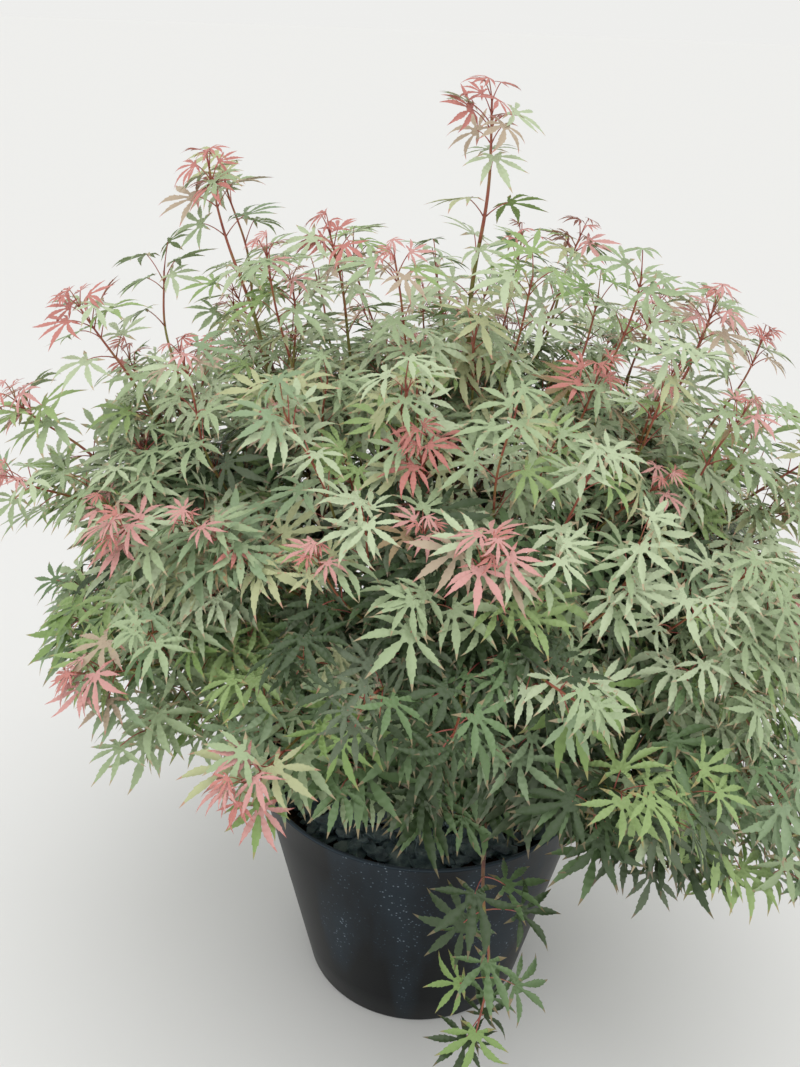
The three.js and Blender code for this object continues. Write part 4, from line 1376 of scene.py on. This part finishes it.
    def add_stem(self, shoot: Shoot) -> float:
        """Makes the stem that a shoot runs on as, in three lengths by the age of their bark.

        Args:
            shoot: the shoot.

        Returns:
            The share of the way at which the stem ends: near the curve's own end, or where the gap
            before the rim begins.
        """
        end = 1 + shoot.habit.run_on / shoot.curve.length
        if not shoot.habit.unhindered:
            tries = np.linspace(shoot.habit.bare, end, 60)
            hidden = self.hides_rim(shoot.curve.points(tries), self.stem_margin)
            end = tries[np.argmax(hidden)] if hidden.any() else end
        rings = int((end - shoot.habit.bare) * shoot.curve.length / self.stem_step) + 6
        along = np.linspace(shoot.habit.bare, end, rings)
        centres = shoot.curve.points(along)
        radii = shoot.radii(along)
        cuts = [0, *(int(rings * share) for share in self.stem_ages), rings - 1]
        for age, first, last in zip(self.tubes, cuts[:-1], cuts[1:]):
            part = slice(first, last + 1)
            self.add_tube(age, centres[part], radii[part], self.stem_sides)
        return end

    def add_tube(self, age: str, centres: Array, radii: Array, sides: int) -> None:
        """Keeps a tube among those with bark of one age. They need no UVs."""
        tube = tubes(centres[None], radii[None], sides)
        self.tubes[age].append(Shape(tube.points, tube.faces))

    def hides_rim(self, points: Array, margin: float) -> Array:
        """Says which points are in the gap through which the front of the tub's rim is seen.

        Args:
            points: the points, (count, 3).
            margin: how much higher than its sill the gap is taken.

        Returns:
            True for each point that is in it.
        """
        compass = np.degrees(np.arctan2(points[:, 1], points[:, 0])) % 360
        reach = np.hypot(points[:, 0], points[:, 1])
        sill = self.window_sill + margin + self.sight_slope * (reach - self.tub.rim_radius)
        first, last = self.rim_window
        return (compass > first) & (compass < last) & (points[:, 2] < sill)

    def mature_tone(self, place: Array, habit: HabitShape) -> Tone:
        """Draws the tone of a spray of grown leaves.

        Args:
            place: where the spray is.
            habit: how its shoot grows.

        Returns:
            The tone: palest high up and to the right, as painted light, and darker inside and low
                in
            front, as painted shade.
        """
        weights = OF_HABIT.get(habit)
        if weights is None:
            # Painted light and shade: pale tones high up and to the right, dark ones deep inside
            # and low in front
            outer = float(np.linalg.norm((place - self.middle) / self.spread))
            inside = falling(outer, *self.inner_shade) * falling(place[2], *self.shade_ceiling)
            high = rising(place @ self.light_way, *self.light)
            reach = np.abs(place) @ (self.dark_right if place[0] > 0 else self.dark_left)
            low = falling(reach, *self.dark) * (place[1] < 0)
            weights = (PAINTED_LIGHT_TONES * high + LEAFY * (1 - high)) * (1 - low) + PAINTED_SHADE_TONES * low
            weights = weights * (1 - inside) + PAINTED_SHADE_TONES * inside
        return GROWN[self.rng.choice(len(GROWN), p=weights / weights.sum())]

    def add_leaf(
        self, curve: Curve, along: float, turn: float, spread: float, size: float, tone: Tone,
        habit: HabitShape, opening: float = 1.0,
    ) -> None:
        """Adds one leaf to the list.

        A leaf is left out deep in the crown, now and then where the crown is airy, and where it
        would touch the tub or hang in the gap before its rim.

        Args:
            curve: the stem or twig that bears it.
            along: where on that, as a share of the way.
            turn: how far round it.
            spread: the stalk's angle from it, in radians.
            size: length of the middle lobe as a share of a full-grown one.
            tone: colour of the leaf.
            habit: how its shoot grows.
            opening: from 0, folded like an umbrella, to 1, spread out.
        """
        rng = self.rng
        turn += rng.normal(0, self.turn_noise)
        spread += rng.normal(0, self.spread_noise)
        size *= rng.uniform(*self.leaf_sizes)
        point, tangent, radial = curve.seat(along, turn)
        way = unit(tangent * np.cos(spread) + radial * np.sin(spread) + UP * self.stalk_rise)
        length = self.leaf_length * size * habit.leaf_size
        stalk = self.stalk_length * (0.35 + 0.65 * size) * rng.uniform(*self.stalk_sizes)
        droop = habit.droop + rng.uniform(*self.droops)
        end = point + way * stalk
        if np.linalg.norm((end - self.middle) / self.spread) < self.bare_inside:
            return
        airy = rising(end @ (np.array(self.airy_way) * (np.sign(end[0]), 1, 1)), *self.airy)
        kept = along >= self.thinned_until or habit is Habit.UPRIGHT.value
        if not kept and rng.uniform() < self.thinned * airy:
            return
        # The tip of the middle lobe hangs about here
        level = unit(way * (1, 1, 0))
        far = end + 0.9 * length * (level * np.cos(droop) - UP * (np.sin(droop) + 0.4))
        if self.tub.blocks(np.array([end, (end + far) / 2, far]), self.leaf_clearance).any():
            return
        if not habit.unhindered and self.hides_rim(far[None], 0).any():
            return
        self.seats.append(LeafSeat(point, way, stalk, length, droop, opening, tone))

    def add_tip(
        self, curve: Curve, end: float, habit: HabitShape, vigour: float, tone: Tone
    ) -> None:
        """Adds the leaves at the end of a stem or twig: young red ones if it grows, or else three.

        Args:
            curve: the stem or twig.
            end: the share of the way at which it ends.
            habit: how its shoot grows.
            vigour: from 0 for a twig that has stopped growing, to 1 for one in full growth.
            tone: tone of the spray's grown leaves.
        """
        rng = self.rng
        turn = rng.uniform(0, np.pi)
        step = self.pair_step / curve.length
        if rng.uniform() > vigour:
            self.add_leaf(curve, end, turn, 0.15, 0.7, tone, habit, 0.95)
            for way in (turn, turn + np.pi):
                self.add_leaf(curve, end - step, way, 0.85, 0.85, tone, habit)
            return
        young = Tone.ROSE if rng.uniform() < self.rose_share else Tone.SALMON
        older = [Tone.DUSTY, Tone.CREAM, Tone.BRONZE, tone][rng.choice(4, p=[0.4, 0.2, 0.1, 0.3])]
        scale = 0.62 + 0.38 * vigour
        self.add_leaf(curve, end, turn, 0.15, 0.5 * scale, young, habit, 0.7)
        # From the tip down, each pair's size, opening and tone
        pairs = [(0.45, 0.72, Tone.SALMON), (0.7, 0.88, young), (0.85, 1.0, older)]
        if vigour > 0.8:
            pairs.insert(1, (0.6, 0.8, young))
        for pair, (size, opening, tint) in enumerate(pairs):
            for way in (turn, turn + np.pi):
                self.add_leaf(
                    curve, end - pair * step, way + pair * np.pi / 2, 0.6 + 0.2 * pair,
                    size * scale, tint, habit, opening)

    def add_twig(
        self, shoot: Shoot, parent: Curve, parent_radius: float, along: float, turn: float,
        length: float, angle: float, depth: int,
    ) -> None:
        """Adds a side twig with its leaves and its own twiglets, by the rule of the CAD source.

        Args:
            shoot: the shoot that it belongs to.
            parent: curve of the stem or twig that it springs from.
            parent_radius: that one's radius there.
            along: where on it, as a share of the way.
            turn: how far round it.
            length: the twig's length.
            angle: its angle from the parent, in radians.
            depth: 1 for a twig and 2 for a twiglet.
        """
        rng = self.rng
        habit = shoot.habit
        root, tangent, radial = parent.seat(along, turn)
        way = unit(tangent * np.cos(angle) + radial * np.sin(angle) + UP * self.twig_rise)
        tip = root + way * length
        bend = (root + tip) / 2 + UP * self.twig_arch * length
        curve = self.limb([root, bend, tip], self.twig_wander, length / self.twig_wave)
        if self.tub.blocks(curve.points(np.linspace(0.3, 1, 5)), self.twig_clearance).any():
            return
        if not habit.unhindered and self.hides_rim(tip[None], self.twig_margin).any():
            return
        radius = min(
            self.twig_radius / depth ** self.twig_thinning, self.twig_fit * parent_radius)
        share = np.linspace(0, 1, 9 if depth == 1 else 6)
        radii = radius + (self.twig_end - radius) * share ** self.twig_taper
        tone = self.mature_tone(tip, habit)
        start, width, most = self.blush
        vigour = float(np.clip((tip[2] - start) / width, 0, most))
        centres = curve.points(share)
        cut = len(share) // 2
        for part in (slice(cut + 1), slice(cut, None)):
            self.add_tube("olive", centres[part], radii[part], self.twig_sides)
        nodes = max(1, round(length * self.twig_leafy / self.twig_node_spacing))
        first = rng.uniform(0, np.pi)
        for node in range(nodes):
            place = self.twig_nodes[0] + self.twig_nodes[1] * (node + 0.5) / nodes
            for way in (first + node * np.pi / 2, first + (node + 2) * np.pi / 2):
                branches = depth == 1 and length > self.forked_length and node < nodes / 2
                if branches and rng.uniform() < self.twiglet_share:
                    here = float(np.interp(place, share, radii))
                    self.add_twig(
                        shoot, curve, here, place, way, self.twiglet_length * rng.uniform(0.7, 1.3),
                        np.radians(self.twiglet_angle), depth + 1)
                spray = tone if rng.uniform() < self.same_tone else self.mature_tone(tip, habit)
                size = rng.uniform(*self.twig_leaf) * self.depth_sizes[depth - 1]
                self.add_leaf(curve, place, way, self.twig_leaf_spread, size, spray, habit)
        self.add_tip(curve, 1.0, habit, vigour, tone)

    def add_shoot(self, shoot: Shoot) -> None:
        """Adds a shoot's stem, its side twigs and its leaves, by the rule of the CAD source.

        Args:
            shoot: the shoot.
        """
        rng = self.rng
        habit, curve = shoot.habit, shoot.curve
        end = self.add_stem(shoot)
        start = habit.bare
        nodes = max(4, round((1 - start) * curve.length / self.node_spacing))
        for node in range(nodes):
            share = (node + 0.5) / nodes
            along = start + (end - start) * share
            turned = self.stem_turn + self.stem_turn_noise * (rng.uniform() - 0.5)
            turn = np.pi * (node / 2 + turned)
            point = curve.points(along)[0]
            for way in (turn, turn + np.pi):
                if share < habit.twig_zone:
                    length = habit.twig_length * (1 - self.twig_shortening * share)
                    length *= 0.75 + 0.5 * rng.uniform()
                    angle = np.radians(
                        habit.twig_angle + self.twig_angle_noise * (rng.uniform() - 0.5))
                    self.add_twig(
                        shoot, curve, float(shoot.radii(along)), along, way, length, angle, 1)
                if share > self.stem_leaf_start:
                    size = self.stem_leaf[0] - self.stem_leaf[1] * share
                    tone = self.mature_tone(point, habit)
                    self.add_leaf(curve, along, way, self.stem_leaf_spread, size, tone, habit)
        tone = self.mature_tone(curve.points(end)[0], habit)
        resting = habit is Habit.FINE.value and curve.points(end)[0, 2] < self.blush_height
        self.add_tip(curve, end, habit, 0.0 if resting else habit.vigour, tone)

    def build_foliage(self) -> None:
        """Grows all the shoots, and joins their stems, stalks and leaves by kind and colour."""
        for shoot in self.shoots.values():
            self.add_shoot(shoot)
        nodes = [f"leaves_{shoot.name}" for shoot in self.boughs]
        barks = {"red": RED_BARK, "olive": OLIVE_BARK, "shoot": SHOOT_BARK}
        for age, bark in barks.items():
            add_piece(f"stems_{age}", join(self.tubes[age]), [bark.material()], nodes)
        add_piece(
            "leaf_stalks", leaf_stalks(self.seats), [STALK_SKIN.material()], nodes)
        for tone in Tone:
            seats = [seat for seat in self.seats if seat.tone is tone]
            if not seats:
                continue
            shape = self.form.leaves(seats, np.random.default_rng(self.seed + len(seats)))
            add_piece(f"leaves_{tone.value.name}", shape, tone.value.materials(), nodes)
        log.info("%d leaves", len(self.seats))

    def build(self) -> None:
        """Makes the whole plant."""
        self.build_trunk()
        self.build_boughs()
        self.build_foliage()


# Studio


@dataclass
class Studio:
    """The floor, the light and the camera, which stands where the photographer stood.

    The camera looks along +Y from a standing eye's height, pitched down, and is rolled a little.
    focal is in pixels of an image that is image_height pixels high. surroundings, sky and side are
    the strengths of the light from all round, of the sun and of the lamp on the left.
    """

    place: tuple[float, float, float] = (-0.047, -1.29, 1.348)
    pitch: float = 26.1
    roll: float = 2.13
    focal: float = 1090.0
    image_height: float = 1067.0
    sensor: float = 36.0
    floor_radius: float = 60.0
    surroundings: float = 0.93
    sky: float = 0.92
    sky_angle: float = 50.0
    sky_place: tuple[float, float, float] = (0.3, -1.0, 3.8)
    side: float = 9.0
    side_size: float = 2.4
    side_place: tuple[float, float, float] = (-2.6, -1.2, 1.9)
    air: str = "#f6f6f4"
    aim: tuple[float, float, float] = (0.0, 0.0, 0.6)
    floor_corners: int = 96

    def build_camera(self) -> None:
        """Makes the camera. Its right is +X rolled up, and it looks level +Y pitched down."""
        pitch, roll = np.radians(self.pitch), np.radians(self.roll)
        ahead = np.array([0, np.cos(pitch), -np.sin(pitch)])
        right = np.array([1.0, 0, 0])
        above = np.cross(right, ahead)
        rolled_right = np.cos(roll) * right + np.sin(roll) * above
        rolled_above = np.cos(roll) * above - np.sin(roll) * right
        data = bpy.data.cameras.new("camera")
        data.sensor_width = self.sensor
        data.lens = self.focal * self.sensor / self.image_height
        camera = bpy.data.objects.new("camera", data)
        place_in_scene(camera, np.stack([rolled_right, rolled_above, -ahead], 1), self.place)
        bpy.context.scene.camera = camera

    def build_floor(self) -> None:
        """Makes the floor: a flat disc, with its points at radius * (cos turn, sin turn)."""
        rim = np.zeros((self.floor_corners, 3))
        rim[:, :2] = self.floor_radius * circle(turns_of(self.floor_corners))
        shape = Shape(rim, [np.arange(self.floor_corners)[None]])
        build_mesh("floor", shape, [StudioFloor().material()])

    def add_light(
        self, name: str, kind: str, place: tuple[float, float, float], power: float
    ) -> bpy.types.Light:
        """Adds a light that faces the crown.

        Args:
            name: name of the light.
            kind: Blender's name for the kind of light.
            place: where it stands. A sun shines from there.
            power: its power in watts, or in watts per square metre for a sun.

        Returns:
            The light's data, whose size is still to be set.
        """
        data = bpy.data.lights.new(name, kind)
        data.energy = power
        away = unit(np.array(place) - self.aim)
        right = unit(np.cross(UP, away))
        axes = np.stack([right, np.cross(away, right), away], 1)
        place_in_scene(bpy.data.objects.new(name, data), axes, place)
        return data

    def build_light(self) -> None:
        """Lights the plant as an overcast sky does: from all round, and more from above.

        The sun is so wide that it gives no edge to a shadow. With it, the floor is as bright as the
        surroundings, and no horizon shows.
        """
        world = bpy.data.worlds.new("overcast")
        world.use_nodes = True
        background = world.node_tree.nodes["Background"]
        background.inputs["Color"].default_value = linear(self.air)
        background.inputs["Strength"].default_value = self.surroundings
        bpy.context.scene.world = world
        self.add_light("sky", "SUN", self.sky_place, self.sky).angle = np.radians(self.sky_angle)
        self.add_light("left", "AREA", self.side_place, self.side).size = self.side_size
        bpy.context.scene.view_settings.view_transform = "Standard"

    def build(self) -> None:
        """Makes the camera, the floor and the light."""
        self.build_camera()
        self.build_floor()
        self.build_light()


def main() -> None:
    """Builds the studio, the tub and the plant."""
    logging.basicConfig(level=logging.INFO, format="%(message)s")
    Studio().build()
    tub = Tub()
    tub.build_shell()
    tub.build_mix()
    tub.build_chips()
    Crown(tub).build()


if __name__ == "__main__":
    main()
